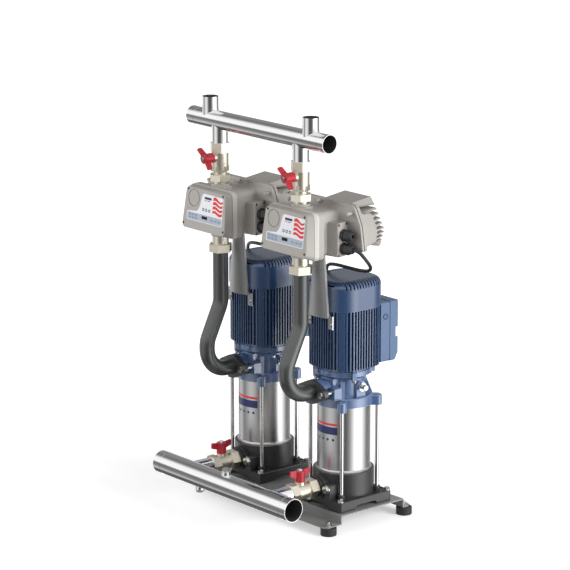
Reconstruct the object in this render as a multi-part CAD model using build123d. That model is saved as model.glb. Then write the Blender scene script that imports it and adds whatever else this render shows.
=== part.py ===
from build123d import *
import math
import os

# A booster pump set: two vertical multistage pumps on one base frame, a suction
# manifold in front, and above each pump a pipe-mounted speed controller, a valve
# and a shared discharge manifold. Millimetres, +Z up. The origin lies on the
# floor at the centre of the four feet. +X runs along the manifolds, and -Y is
# the front, with the suction manifold and the control panels.

# Layout of the set
pump_pitch = 320.0
suction_z = 98.0
suction_manifold_y = -264.0
discharge_y = -148.0
discharge_z = 1020.0

# Fits
running = 0.05
loose = 0.3

# Base frame and feet
sheet = 3.0
frame_margin = 11.5
frame_top = 45.0
frame_front = -96.0
frame_back = 122.0
flange_half = 150.0
bend_radius = 3.5
corner_cut = 22.0
foot_height = 20.0
foot_radius = 21.0
foot_inset = 9.0
foot_set_back = 19.0
foot_bolt_radius = 4.0
foot_thread_depth = 8.0
foot_socket_radius = 3.4

# Pump base casting
base_width = 177.0
frame_length = pump_pitch + base_width + 2 * frame_margin
foot_x = frame_length / 2 - foot_inset
foot_y = flange_half - foot_set_back
base_plate_height = 28.5
base_radius = 79.3
base_top = 135.5
base_wall = 8.0
base_rim = 5.0
base_recess = 2.0
pad_radius = 12.0
rod_boss_radius = 9.5
rod_boss_height = 10.5
window_width = 78.0
window_height = 12.0
anchor_offset = 80.0
anchor_bolt_radius = 4.0
port_face_y = -98.0
port_bore = 16.0
port_neck_radius = 31.0
port_socket_radius = 21.0
port_socket_depth = 20.0
drain_x = 40.0
drain_face_y = -92.0
drain_z = 100.0
plug_thread_radius = 8.3

# Sleeve and stages
sleeve_radius = 69.0
sleeve_wall = 1.5
sleeve_seat = 127.0
sleeve_top = 316.0
sleeve_ring = 73.0
stage_count = 4
stage_pitch = 42.0
stage_floor = 140.0
impeller_radius = 52.0
shaft_radius = 8.0
motor_shaft_radius = 12.5

# Tie rods
rod_offset = 61.0
rod_radius = 5.0
rod_foot = 62.0
rod_tip = 330.0

# Pump head casting
head_bottom = 311.0
head_ring_radius = 75.0
head_ring_top = 337.0
lug_bottom = 305.5
lug_top = 334.0
lug_radius = 12.0
head_neck_radius = 57.0
web_root = 50.0
web_top = 378.0
web_thickness = 10.0
outlet_z = 356.0
outlet_face_y = -100.0
outlet_bolt_x = 40.0
outlet_bolt_radius = 5.0
outlet_neck_radius = 28.0
outlet_rim_radius = 32.0
outlet_rim_length = 8.0
outlet_block_half = 30.0
outlet_block_front = -64.0
ear_half = 11.0
ear_front = -77.0
ear_length = 24.0
ear_bolt_depth = 15.0
priming_z = 364.0
priming_face_x = 66.0
priming_boss_radius = 14.5
seal_chamber_radius = 36.0
seal_radius = 16.0
seal_bottom = 340.0
seal_seat_height = 6.0
seal_seat_radius = 20.0
seal_room_bottom = 374.0
seal_room_top = 384.0
flange_cone_height = 10.0
motor_flange_bottom = 393.0
motor_flange_radius = 71.5
motor_bottom = 405.0
motor_screw_radius = 3.0
motor_screw_offset = 76.5
motor_screw_turn = -22.0
motor_lug_bottom = 386.0
motor_lug_top = 415.0
motor_lug_width = 11.0

# Motor
motor_half = 80.0
motor_corner = 55.0
fin_pitch = 9.0
fin_thickness = 3.2
fin_root = 66.0
stator_bore = 60.0
rotor_radius = 35.6
air_gap = 0.4
stack_bottom = 440.0
stack_height = 90.0
motor_top = 576.0
shield_thickness = 6.0
bearing_outer = 23.5
bearing_height = 13.0
cover_half = 83.0
cover_corner = 58.0
cover_wall = 2.5
cover_bottom = 570.0
cover_top = 645.0
cover_round = 17.0
slot_pitch = 9.5
slot_width = 4.0
slot_count = 13
fan_radius = 62.0
fan_bottom = 596.0
fan_height = 22.0
blade_count = 7

# Motor terminal box
box_half = 52.0
box_front = 80.0
box_joint = 111.0
box_back = 138.5
box_bottom = 410.0
box_top = 568.0
box_wall = 3.0
box_gland_z = 530.0
lid_channel = 27.0
lid_channel_z = 484.0
lid_channel_depth = 7.5
lid_foot_depth = 11.0
lid_foot_height = 24.0

# Riser pipe from the pump outlet to the controller
riser_radius = 20.4
riser_wall = 2.6
riser_bulge_y = -195.0
riser_knee_low = 438.0
riser_knee_high = 537.0
riser_bend = 62.0
riser_flange_thickness = 12.0

# Unions
lower_nut_bottom = 674.0
lower_nut_top = 694.6
upper_nut_bottom = 862.5
upper_nut_top = 879.0
nut_lip = 4.0
neck_radius = 18.0
union_collar = 3.0
lower_nut_flats = 54.0
upper_nut_flats = 50.0
tail_radius = 21.6
spigot_radius = 19.4
spigot_length = 12.0

# Speed controller
seam_y = -166.0
body_front_back = -150.0
board_wall_y = -153.0
board_y = -185.0
board_thickness = 1.6
panel_half = 91.0
panel_bottom = 722.0
panel_top = 846.0
panel_corner = 15.0
face_tilt = 6.5
face_y = -201.0
face_z = 788.0
face_half_top = 79.0
face_half_bottom = 88.0
face_half_height = 54.0
cover_thickness = 3.0
controller_port_bottom = 716.0
controller_port_top = 854.8
flow_radius = 24.0
port_ring = 30.0
seat_z = 768.0
seat_bore = 12.0
poppet_radius = 14.5
poppet_lift = 8.0
guide_z = 800.0
stem_radius = 3.0
neck_half = 78.0
body_bottom = 729.0
body_top = 842.0
rim_front = -78.0
rim_joint = -70.0
rim_back = -62.0
rim_half = 156.0
rim_half_knee = 146.0
rim_half_top = 121.0
rim_bottom = 744.0
rim_knee = 808.0
rim_top = 858.0
rim_corner = 20.0
rim_groove_width = 3.0
rim_groove_depth = 3.5
rim_screw_radius = 4.5
rim_screw_front = -96.0
sink_step = 6.0
sink_back = 42.0
sink_half = 105.0
sink_half_top = 66.0
sink_bottom = 730.0
sink_knee = 778.0
sink_top = 838.0
sink_fin_pitch = 11.0
sink_fin_gap = 7.0
sink_fin_root = 3.0
sink_top_gap_root = -40.0
sink_fin_count = 8
pad_half = 49.0
pad_back = 43.5
pad_height = 18.0
pad_top_front = 839.0
pad_top_back = 853.2
wiring_angle = 12.0
wiring_front = (106.0, -122.0)
wiring_width = 41.0
wiring_bottom = 729.0
wiring_top = 816.0
wiring_cover_thickness = 4.0
gland_upper_z = 784.0
gland_lower_z = 750.0
gland_thread_radius = 10.0
gland_flats = 27.0

# Valves
valve_radius = 22.2
valve_flats = 46.0
valve_hex_length = 25.0
valve_collar_flats = 42.0
valve_collar_length = 13.5
suction_hex_flats = 49.0
suction_hex_length = 24.0
suction_socket_flats = 45.0
suction_socket_length = 20.0
socket_depth = 12.0
ball_radius = 16.8
ball_bore = 11.5
stem_shaft_radius = 4.0
stem_boss_radius = 13.0
suction_valve_front = -186.0
suction_valve_back = -104.0
suction_stem_y = -149.0
discharge_valve_bottom = 887.5
discharge_valve_top = 962.0
discharge_stem_z = 924.5
hub_radius = 13.0
hub_start = 26.5
hub_length = 29.0
wing_span = 66.0
wing_height = 17.0
wing_thickness = 4.4
discharge_handle_angle = 43.0

# Manifolds
suction_pipe_radius = 30.15
suction_length = 538.0
discharge_pipe_radius = 24.15
discharge_length = 538.0
pipe_wall = 2.0
weld_height = 0.4
weld_width = 2.0
end_seam = 25.0
stub_weld = 2.35
stub_radius = 21.2
outlet_stub_x = 198.0
outlet_stub_top = 1078.0
fill_boss_x = 0.0
drain_boss_x = -108.0
boss_radius = 13.0

# Bracket behind the riser
bracket_bottom = 553.0
bracket_half_bottom = 37.0
bracket_half_top = 19.0
bracket_y = -89.0
bracket_bulge = 9.0
bracket_sheet = 2.5
clip_x = 41.0
clip_width = 16.0
clip_bottom = 524.0
clip_overlap = 6.0
clip_sheet = 3.0

# Motor cable
cable_radius = 4.5


def upright(radius, bottom, top, x=0.0, y=0.0):
    """A vertical cylinder between two heights."""
    body = Cylinder(radius, top - bottom, align=(Align.CENTER, Align.CENTER, Align.MIN))
    return Pos(x, y, bottom) * body


def along_y(radius, start, end, x=0.0, z=0.0):
    """A cylinder along Y between two depths."""
    body = Cylinder(radius, end - start, align=(Align.CENTER, Align.CENTER, Align.MIN))
    return Pos(x, start, z) * Rot(-90, 0, 0) * body


def along_x(radius, start, end, y=0.0, z=0.0):
    """A cylinder along X between two places."""
    body = Cylinder(radius, end - start, align=(Align.CENTER, Align.CENTER, Align.MIN))
    return Pos(start, y, z) * Rot(0, 90, 0) * body


def block(x0, x1, y0, y1, z0, z1):
    """A box between two corners."""
    body = Box(x1 - x0, y1 - y0, z1 - z0)
    return Pos((x0 + x1) / 2, (y0 + y1) / 2, (z0 + z1) / 2) * body


def hexagon(flats, bottom, top, turn=0.0):
    """A vertical hexagonal prism with the given width across its flats."""
    outline = RegularPolygon(flats / math.sqrt(3), 6)
    return Pos(0, 0, bottom) * Rot(0, 0, turn) * extrude(outline, top - bottom)


def rounded_prism(half, corner, bottom, top):
    """A vertical prism of a square with rounded corners."""
    outline = RectangleRounded(2 * half, 2 * half, corner)
    return Pos(0, 0, bottom) * extrude(outline, top - bottom)


def facing_front(y, z=0.0, tilt=0.0):
    """A plane whose local x is X and local y is up, seen from the front."""
    lean = math.radians(tilt)
    return Plane(origin=(0, y, z), x_dir=(1, 0, 0), z_dir=(0, -math.cos(lean), math.sin(lean)))


def four_corners(offset):
    """The four places at the corners of a square."""
    return [(sx * offset, sy * offset) for sx in (-1, 1) for sy in (-1, 1)]


# Base frame: one sheet folded to a hat section, with holes for feet and pumps
def base_frame():
    outline = Polyline(
        (-flange_half, foot_height), (frame_front + sheet, foot_height),
        (frame_front + sheet, frame_top - sheet), (frame_back - sheet, frame_top - sheet),
        (frame_back - sheet, foot_height), (flange_half, foot_height),
        (flange_half, foot_height + sheet), (frame_back, foot_height + sheet),
        (frame_back, frame_top), (frame_front, frame_top),
        (frame_front, foot_height + sheet), (-flange_half, foot_height + sheet),
        close=True)
    section = make_face(outline)
    bends = section.vertices().filter_by(lambda v: abs(v.X) < flange_half - 1)
    section = fillet(bends, bend_radius * 0.4)
    across = Plane(origin=(-frame_length / 2, 0, 0), x_dir=(0, 1, 0), z_dir=(1, 0, 0))
    frame = extrude(across * section, frame_length)
    upright_edges = frame.edges().filter_by(Axis.Z)
    tips = upright_edges.filter_by(lambda e: abs(e.center().Y) > flange_half - 1)
    frame = chamfer(tips, corner_cut * 0.5)
    for x in (-foot_x, foot_x):
        for y in (-foot_y, foot_y):
            frame -= upright(foot_bolt_radius + loose, 0, frame_top, x, y)
    for side in (-1, 1):
        for x, y in four_corners(anchor_offset):
            centre = side * pump_pitch / 2
            frame -= upright(anchor_bolt_radius + loose, 0, frame_top + 1, centre + x, y)
    return frame


# Rubber feet, each with a threaded socket below and a stud above
def rubber_feet():
    foot = chamfer(upright(foot_radius, 0, foot_height).edges(), 1.0)
    foot -= upright(foot_socket_radius, 0, foot_thread_depth)
    foot -= upright(foot_bolt_radius, foot_thread_depth + 3, foot_height)
    return [Pos(x, y, 0) * foot for x in (-foot_x, foot_x) for y in (-foot_y, foot_y)]


def foot_studs():
    top = foot_height + sheet
    stud = upright(foot_bolt_radius - running, foot_thread_depth + 3, top + 11)
    stud += upright(7.5, top, top + 1.6)
    stud += hexagon(13, top + 1.6, top + 8.1)
    return [Pos(x, y, 0) * stud for x in (-foot_x, foot_x) for y in (-foot_y, foot_y)]


def anchor_bolts():
    seat = frame_top + base_plate_height
    bolt = upright(anchor_bolt_radius, frame_top - sheet - 9, seat)
    bolt += upright(8.2, seat, seat + 1.6)
    bolt += hexagon(13, seat + 1.6, seat + 7.0)
    bolt += hexagon(13, frame_top - sheet - 6.5, frame_top - sheet)
    return [Pos(x, y, 0) * bolt for x, y in four_corners(anchor_offset)]


# Pump base: a hollow square foot, a round water chamber and the suction port
def pump_base():
    plate_top = frame_top + base_plate_height
    half = base_width / 2
    base = rounded_prism(half, 7, frame_top, plate_top)
    base = fillet(base.edges().group_by(Axis.Z)[-1], 3)
    recess = rounded_prism(half - base_rim, 4, plate_top - base_recess, plate_top)
    for x, y in four_corners(anchor_offset):
        recess -= upright(pad_radius, frame_top, plate_top, x, y)
    base -= recess
    base += upright(base_radius, frame_top, base_top)
    base += along_y(port_neck_radius, port_face_y + 6, 0, z=suction_z)
    base += along_y(port_neck_radius - 3.5, port_face_y, port_face_y + 6, z=suction_z)
    drain = block(drain_x - 11, drain_x + 11, drain_face_y, 0, plate_top - 2, drain_z + 13)
    base += fillet(drain.edges().filter_by(Axis.Y).group_by(Axis.Z)[-1], 6)
    for x, y in four_corners(rod_offset):
        base += upright(rod_boss_radius, frame_top, plate_top + rod_boss_height, x, y)
    # The square foot is hollow below, with bosses at its bolts and an arch in each side
    hollow = rounded_prism(half - base_wall, 5, frame_top, plate_top - base_wall)
    for x, y in four_corners(rod_offset):
        hollow -= upright(17, frame_top, plate_top, x * 1.16, y * 1.16)
    base -= hollow
    arch = extrude(SlotOverall(window_width, 2 * window_height), base_width + 2, both=True)
    base -= Pos(0, 0, frame_top) * Rot(90, 0, 0) * arch
    base -= Pos(0, 0, frame_top) * Rot(0, 0, 90) * Rot(90, 0, 0) * arch
    base += upright(base_radius - 4, frame_top + 6, plate_top)
    # Water chamber, sleeve socket and ports
    base -= upright(sleeve_radius - 6, frame_top + 16, base_top)
    base -= upright(sleeve_radius + 0.2, sleeve_seat, base_top)
    base -= along_y(port_bore, port_face_y, -40, z=suction_z)
    base -= along_y(port_socket_radius + running, port_face_y, port_socket_end, z=suction_z)
    base -= along_y(plug_thread_radius + running, drain_face_y, -40, drain_x, drain_z)
    for x, y in four_corners(rod_offset):
        base -= upright(rod_radius + running, rod_foot - 1, base_top, x, y)
    for x, y in four_corners(anchor_offset):
        base -= upright(anchor_bolt_radius + loose, frame_top, base_top, x, y)
    return base


# Outer sleeve: a thin drawn tube with a rolled ring that sits on the base
def pump_sleeve():
    inner = sleeve_radius - sleeve_wall
    ring = base_top + 2.2
    outline = Polyline(
        (inner, sleeve_seat), (sleeve_radius, sleeve_seat), (sleeve_radius, base_top),
        (sleeve_ring, base_top), (sleeve_ring, ring))
    flare = RadiusArc((sleeve_ring, ring), (sleeve_radius, ring + 5.5), 6.5)
    rest = Polyline((sleeve_radius, ring + 5.5), (sleeve_radius, sleeve_top), (inner, sleeve_top),
                    (inner, sleeve_seat))
    section = make_face([Plane.XZ * line for line in (outline, flare, rest)])
    return revolve(section, Axis.Z)


# Stage bowls: stacked cups that guide the water from one impeller to the next
def stage_bowls():
    bowls = []
    for stage in range(stage_count):
        floor = stage_floor + stage * stage_pitch
        bowl = upright(sleeve_radius - sleeve_wall - loose, floor, floor + stage_pitch)
        bowl -= upright(sleeve_radius - sleeve_wall - 4.0, floor + 4, floor + stage_pitch)
        bowl -= upright(shaft_radius + 9, floor, floor + 4)
        bowls.append(bowl)
    return bowls


def impellers():
    wheels = []
    for stage in range(stage_count):
        bottom = stage_floor + stage * stage_pitch + 9
        wheel = upright(impeller_radius, bottom + 8, bottom + 11)
        wheel += upright(shaft_radius + 7, bottom - 3, bottom + 11)
        ring = upright(impeller_radius, bottom, bottom + 3) - upright(22, bottom, bottom + 3)
        wheel += ring
        vane = block(24, impeller_radius - 1.5, -1, 1, bottom + 2, bottom + 9)
        for turn in range(6):
            wheel += Rot(0, 0, 60 * turn) * vane
        wheels.append(wheel - upright(shaft_radius + running, bottom - 3, bottom + 11))
    return wheels


# One shaft runs from the pump's foot to the fan, stepped at the coupling height
def rotor_shaft():
    step = seal_room_top - 1
    shaft = upright(shaft_radius, stage_floor - 12, step)
    shaft += upright(motor_shaft_radius, step, motor_top + shield_thickness + 2)
    shaft += upright(shaft_radius, motor_top + shield_thickness + 2, fan_bottom + fan_height + 3)
    return shaft


def shaft_seal():
    """The fixed seat and bellows of the mechanical seal, around the shaft below the motor."""
    top = seal_room_top - 2
    seat_top = seal_bottom + seal_seat_height
    seal = upright(seal_seat_radius, seal_bottom, seat_top) + upright(seal_radius, seat_top, top)
    return seal - upright(shaft_radius + running, seal_bottom, top)


def tie_rods():
    rod = upright(rod_radius, rod_foot, rod_tip)
    return [Pos(x, y, 0) * rod for x, y in four_corners(rod_offset)]


# Pump head: sleeve ring with four lugs, water outlet, seal chamber and motor flange
def motor_screw_places():
    """The four places where the motor is screwed down on the pump head."""
    return [Rot(0, 0, motor_screw_turn + 90 * turn) * Pos(motor_screw_offset, 0, 0) for turn in range(4)]


def motor_lugs(bottom, top):
    """Four lugs around the joint between pump head and motor."""
    half = motor_lug_width / 2
    lug = block(62 - motor_screw_offset, half + 1, -half, half, bottom, top)
    return [place * lug for place in motor_screw_places()]


def pump_head():
    head = upright(head_ring_radius, head_bottom, head_ring_top)
    head = fillet(head.edges().group_by(Axis.Z)[-1], 4)
    head += upright(head_neck_radius, head_ring_top - 1, motor_flange_bottom)
    cone = Cone(head_neck_radius, motor_flange_radius, flange_cone_height,
                align=(Align.CENTER, Align.CENTER, Align.MIN))
    head += Pos(0, 0, motor_flange_bottom - flange_cone_height) * cone
    head += upright(motor_flange_radius, motor_flange_bottom, motor_bottom)
    web = make_face(Polyline(
        (web_root, head_ring_top - 1), (head_ring_radius - 1, head_ring_top - 1),
        (head_neck_radius, web_top), (web_root, web_top), close=True))
    web = extrude(Plane.XZ * web, web_thickness / 2, both=True)
    lug_length = rod_offset * math.sqrt(2) + lug_radius - web_root
    lug = extrude(SlotOverall(lug_length, 2 * lug_radius), lug_top - lug_bottom)
    lug = Pos(web_root + lug_length / 2, 0, lug_bottom) * fillet(lug.edges().group_by(Axis.Z)[-1], 6)
    for turn in range(4):
        head += Rot(0, 0, 45 + 90 * turn) * (web + lug)
    head += motor_lugs(motor_lug_bottom, motor_bottom)
    # Outlet neck, its housing, two ears for the flange bolts, and the priming boss
    head += along_y(outlet_neck_radius, outlet_face_y, 0, z=outlet_z)
    head += along_y(outlet_rim_radius, outlet_face_y, outlet_face_y + outlet_rim_length, z=outlet_z)
    head += block(-outlet_block_half, outlet_block_half, outlet_block_front, 0, head_ring_top - 1,
                  outlet_z + outlet_block_half)
    for side in (-1, 1):
        x = side * outlet_bolt_x
        ear = block(x - ear_half, x + ear_half, ear_front, ear_front + ear_length,
                    head_ring_top - 1, outlet_z + ear_half + 1)
        head += fillet(ear.edges().filter_by(Axis.Y).group_by(Axis.Z)[-1], 4)
    head += along_x(priming_boss_radius, web_root - 10, priming_face_x, z=priming_z)
    head += block(web_root - 10, priming_face_x, -priming_boss_radius, priming_boss_radius,
                  head_ring_top - 1, priming_z)
    # Inside: sleeve recess, outlet chamber, seal chamber and bearing seat
    head -= upright(sleeve_radius + 0.2, lug_bottom, sleeve_top)
    head -= upright(sleeve_radius - 9, lug_bottom, sleeve_top + 10)
    head -= upright(seal_chamber_radius, head_bottom, seal_room_bottom)
    head -= upright(seal_radius + running, seal_room_bottom, seal_room_top)
    head -= upright(motor_shaft_radius + 1, seal_room_bottom, motor_bottom)
    head -= upright(bearing_outer + running, motor_bottom - bearing_height, motor_bottom)
    head -= along_y(port_bore, outlet_face_y, -30, z=outlet_z)
    head -= along_x(plug_thread_radius + running, 30, priming_face_x, z=priming_z)
    for side in (-1, 1):
        head -= along_y(outlet_bolt_radius + running, ear_front, ear_front + ear_bolt_depth + 2,
                        side * outlet_bolt_x, outlet_z)
    for x, y in four_corners(rod_offset):
        head -= upright(rod_radius + running, lug_bottom, rod_tip + 1, x, y)
    screw_hole = upright(motor_screw_radius + running, motor_lug_bottom, motor_bottom)
    return head - [place * screw_hole for place in motor_screw_places()]


# Motor housing: a ribbed extrusion, its fins parallel on each side and cut to a
# rounded square
def motor_housing():
    envelope = RectangleRounded(2 * motor_half, 2 * motor_half, motor_corner)
    fins = Sketch() + Circle(fin_root)
    per_side = int((motor_half - 18) / fin_pitch)
    for step in range(-per_side, per_side + 1):
        bar = Pos(0, step * fin_pitch) * Rectangle(2 * motor_half, fin_thickness)
        fins += bar
        fins += Rot(0, 0, 90) * bar
    for turn in (45, 135):
        fins += Rot(0, 0, turn) * Rectangle(2.6 * motor_half, 15)
    profile = (fins & envelope) - Circle(stator_bore + running)
    housing = Pos(0, 0, motor_bottom + 8) * extrude(profile, motor_top - motor_bottom - 8)
    foot = upright(motor_flange_radius - 2, motor_bottom, motor_bottom + 8)
    housing += foot - upright(stator_bore + running, motor_bottom, motor_bottom + 8)
    housing += motor_lugs(motor_bottom, motor_lug_top)
    screw_hole = upright(motor_screw_radius + running, motor_bottom, motor_lug_top - 1)
    housing -= [place * screw_hole for place in motor_screw_places()]
    pad = block(-box_half + 4, box_half - 4, fin_root, box_front, box_bottom + 6, box_top - 6)
    return housing + pad


def stator():
    bottom, top = stack_bottom, stack_bottom + stack_height
    core = upright(stator_bore, bottom, top) + upright(56, bottom - 14, top + 14)
    inner = upright(rotor_radius + air_gap, bottom, top)
    ends = upright(rotor_radius + 5, bottom - 14, top + 14)
    return core - inner - (ends - upright(rotor_radius + 6, bottom, top))


def motor_rotor():
    core = upright(rotor_radius, stack_bottom + 2, stack_bottom + stack_height - 2)
    core += upright(rotor_radius - 5, stack_bottom - 5, stack_bottom + stack_height + 5)
    return core - upright(motor_shaft_radius + running, stack_bottom - 6, stack_bottom + 101)


def bearing_shield():
    plate = rounded_prism(motor_half - 4, motor_corner - 4, motor_top, motor_top + shield_thickness)
    plate += upright(33, motor_top - 10, motor_top + shield_thickness)
    hole = upright(motor_shaft_radius + 1, motor_top - 10, motor_top + shield_thickness)
    seat = upright(bearing_outer + running, motor_top - 10, motor_top - 10 + bearing_height)
    return plate - hole - seat


def shaft_bearings():
    bearings = []
    for bottom in (motor_bottom - bearing_height, motor_top - 10):
        ring = upright(bearing_outer, bottom, bottom + bearing_height)
        bearings.append(ring - upright(motor_shaft_radius + running, bottom, bottom + bearing_height))
    return bearings


def cooling_fan():
    top = fan_bottom + fan_height
    fan = upright(16, fan_bottom, top) + upright(fan_radius - 8, fan_bottom, fan_bottom + 3)
    blade = block(12, fan_radius, -1.25, 1.25, fan_bottom + 1, top)
    for turn in range(blade_count):
        fan += Rot(0, 0, 360 / blade_count * turn) * blade
    return fan - upright(shaft_radius + running, fan_bottom, top)


# Fan cover: a drawn cap with a rounded rim and air slots cut over two of its sides
def fan_cover():
    outer = rounded_prism(cover_half, cover_corner, cover_bottom, cover_top)
    outer = fillet(outer.edges().group_by(Axis.Z)[-1], cover_round)
    inner_half = cover_half - cover_wall
    inner = rounded_prism(inner_half, cover_corner - cover_wall, cover_bottom, cover_top - cover_wall)
    inner = fillet(inner.edges().group_by(Axis.Z)[-1], cover_round - cover_wall)
    cover = outer - inner
    reach = 30
    slot = block(cover_half - reach, cover_half + 1, -slot_width / 2, slot_width / 2,
                 cover_top - cover_round - 1, cover_top + 1)
    first = -(slot_count - 1) / 2
    for step in range(slot_count):
        one = Pos(0, (first + step) * slot_pitch, 0) * slot
        cover -= one
        cover -= Rot(0, 0, 180) * one
    groove = block(-48, 48, -cover_half, -cover_half + 20, cover_top - 11, cover_top - 7)
    return cover - groove


# Terminal box on the back of the motor, and its lid with a hollow across it
def terminal_box():
    box = block(-box_half, box_half, box_front, box_joint, box_bottom, box_top)
    box = fillet(box.edges().filter_by(Axis.Y), 4)
    box -= block(-box_half + box_wall, box_half - box_wall, box_front + box_wall, box_joint,
                 box_bottom + box_wall, box_top - box_wall)
    middle = (box_front + box_joint) / 2
    box -= along_x(gland_thread_radius + running, -box_half, 0, middle, box_gland_z)
    box += along_x(8, box_half, box_half + 1.2, middle, box_gland_z)
    box -= along_x(5.5, box_half + 0.4, box_half + 1.2, middle, box_gland_z)
    return box


def terminal_lid():
    lid = block(-box_half - 0.8, box_half + 0.8, box_joint, box_back, box_bottom - 0.8, box_top + 0.8)
    lid = fillet(lid.edges().filter_by(Axis.Y), 4)
    slope = Plane.YZ * make_face(Polyline(
        (box_back - lid_foot_depth, box_bottom - 2), (box_back + 2, box_bottom - 2),
        (box_back + 2, box_bottom + lid_foot_height), close=True))
    lid -= extrude(slope, box_half + 2, both=True)
    low = lid_channel_z - lid_channel / 2
    lid -= block(-box_half - 2, box_half + 2, box_back - lid_channel_depth, box_back + 1,
                 low, low + lid_channel)
    inner = block(-box_half + box_wall, box_half - box_wall, box_joint, box_back - 11,
                  box_bottom + 14, box_top - box_wall)
    return lid - inner


# Riser: a bent pipe from the pump outlet, bulging forward, up to the controller
def riser_path():
    points = [(0, outlet_face_y, outlet_z), (0, riser_bulge_y, outlet_z),
              (0, riser_bulge_y, riser_knee_low), (0, discharge_y, riser_knee_high),
              (0, discharge_y, lower_nut_bottom + nut_lip + union_collar)]
    return FilletPolyline(*points, radius=riser_bend)


def riser_pipe():
    path = riser_path()
    start = Plane(path @ 0, z_dir=path % 0)
    pipe = sweep(start * Circle(riser_radius), path)
    bore = sweep(start * Circle(riser_radius - riser_wall), path)
    collar_bottom = lower_nut_bottom + nut_lip
    collar = upright(tail_radius - 0.1, collar_bottom, collar_bottom + union_collar, y=discharge_y)
    return pipe + collar - bore


def riser_flange():
    middle = Circle(31.5).edges()
    ends = [(Pos(side * outlet_bolt_x, 0) * Circle(14.5)).edges() for side in (-1, 1)]
    outline = make_hull(middle + ends[0] + ends[1])
    outline -= Circle(riser_radius + running)
    for side in (-1, 1):
        outline -= Pos(side * outlet_bolt_x, 0) * Circle(outlet_bolt_radius + loose)
    return extrude(facing_front(outlet_face_y, outlet_z) * outline, riser_flange_thickness)


def flange_bolts():
    seat = outlet_face_y - riser_flange_thickness
    bolts = []
    for side in (-1, 1):
        bolt = along_y(outlet_bolt_radius, seat, ear_front + ear_bolt_depth)
        bolt += Rot(90, 0, 0) * hexagon(16, -seat, -seat + 7)
        bolts.append(Pos(side * outlet_bolt_x, 0, outlet_z) * bolt)
    screw = upright(motor_screw_radius, motor_lug_bottom, motor_lug_top - 2)
    screw += hexagon(10, motor_lug_bottom - 6, motor_lug_bottom)
    return bolts + [place * screw for place in motor_screw_places()]


# Unions: a hexagon nut pulls a collar against the tail screwed into the controller
def union_nuts():
    lower = hexagon(lower_nut_flats, lower_nut_bottom, lower_nut_top, 10)
    lower -= upright(riser_radius + loose, lower_nut_bottom, lower_nut_top)
    lower -= upright(tail_radius + running, lower_nut_bottom + nut_lip, lower_nut_top)
    upper = hexagon(upper_nut_flats, upper_nut_bottom, upper_nut_top, 20)
    upper -= upright(neck_radius + loose, upper_nut_bottom, upper_nut_top)
    upper -= upright(tail_radius + running, upper_nut_bottom, upper_nut_top - nut_lip)
    return [Pos(0, discharge_y, 0) * nut for nut in (lower, upper)]


def union_tails():
    face = lower_nut_bottom + nut_lip + union_collar
    lower = upright(tail_radius, face, controller_port_bottom)
    lower += upright(spigot_radius, face, controller_port_bottom + spigot_length)
    lower -= upright(port_bore, face, controller_port_bottom + spigot_length)
    seat = upper_nut_top - nut_lip - union_collar
    upper = upright(tail_radius, controller_port_top, seat)
    upper += upright(spigot_radius, controller_port_top - spigot_length, seat)
    upper -= upright(port_bore, controller_port_top - spigot_length, seat)
    return [Pos(0, discharge_y, 0) * tail for tail in (lower, upper)]


# Speed controller
def panel_outline(inset=0.0):
    """The outline of the controller's seam, a rectangle with rounded corners."""
    height = panel_top - panel_bottom
    outline = RectangleRounded(2 * (panel_half - inset), height - 2 * inset, panel_corner - inset)
    return Pos(0, (panel_top + panel_bottom) / 2) * outline


def face_outline(inset=0.0):
    """The front face, wider at its foot, about its own middle."""
    top, foot = face_half_top - inset, face_half_bottom - inset
    height = face_half_height - inset
    outline = make_face(Polyline((-foot, -height), (foot, -height), (top, height), (-top, height),
                                 close=True))
    return fillet(outline.vertices(), 12)


def cover_form(inset=0.0, deeper=0.0):
    """The cover's form: a straight edge, then a taper to the leaning front face."""
    edge = extrude(facing_front(seam_y + deeper) * panel_outline(inset), 4 + deeper)
    taper = loft([facing_front(seam_y - 4) * panel_outline(inset),
                  facing_front(face_y + inset, face_z, face_tilt) * face_outline(inset)])
    return edge + taper


def controller_cover():
    cover = cover_form()
    front = cover.faces().sort_by(Axis.Y)[0]
    cover = fillet(front.edges(), 2.2)
    cover -= cover_form(cover_thickness, 1.0)
    face = facing_front(face_y, face_z, face_tilt)
    dial = face * Pos(-46, 28) * Circle(22)
    cover -= extrude(dial, -1.5) - extrude(face * Pos(-46, 28) * Circle(20.5), -1.5)
    cover -= upright(flow_radius + loose, panel_bottom - 40, panel_top + 40, y=discharge_y)
    return cover - upright(port_ring + loose, panel_top - 10, panel_top + 40, y=discharge_y)


def rim_outline(inset=0.0):
    """The flared rim behind the controller, widest at its foot."""
    foot, knee, narrow = rim_half - inset, rim_half_knee - inset, rim_half_top - inset
    low, high = rim_bottom + inset, rim_top - inset
    outline = make_face(Polyline((-foot, low), (foot, low), (knee, rim_knee), (narrow, high),
                                 (-narrow, high), (-knee, rim_knee), close=True))
    outline = fillet(outline.vertices().group_by(Axis.Y)[0], 6)
    return fillet(outline.vertices().group_by(Axis.Y)[-1], rim_corner)


def wiring_plane(depth=0.0):
    """The outer face of the terminal chamber, turned a little to the back."""
    turn = math.radians(wiring_angle)
    out = Vector(math.cos(turn), math.sin(turn), 0)
    along = Vector(-math.sin(turn), math.cos(turn), 0)
    middle = Vector(wiring_front[0], wiring_front[1], (wiring_bottom + wiring_top) / 2)
    middle = middle + along * (wiring_width / 2) + out * depth
    return Plane(origin=middle, x_dir=along, z_dir=out)


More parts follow.
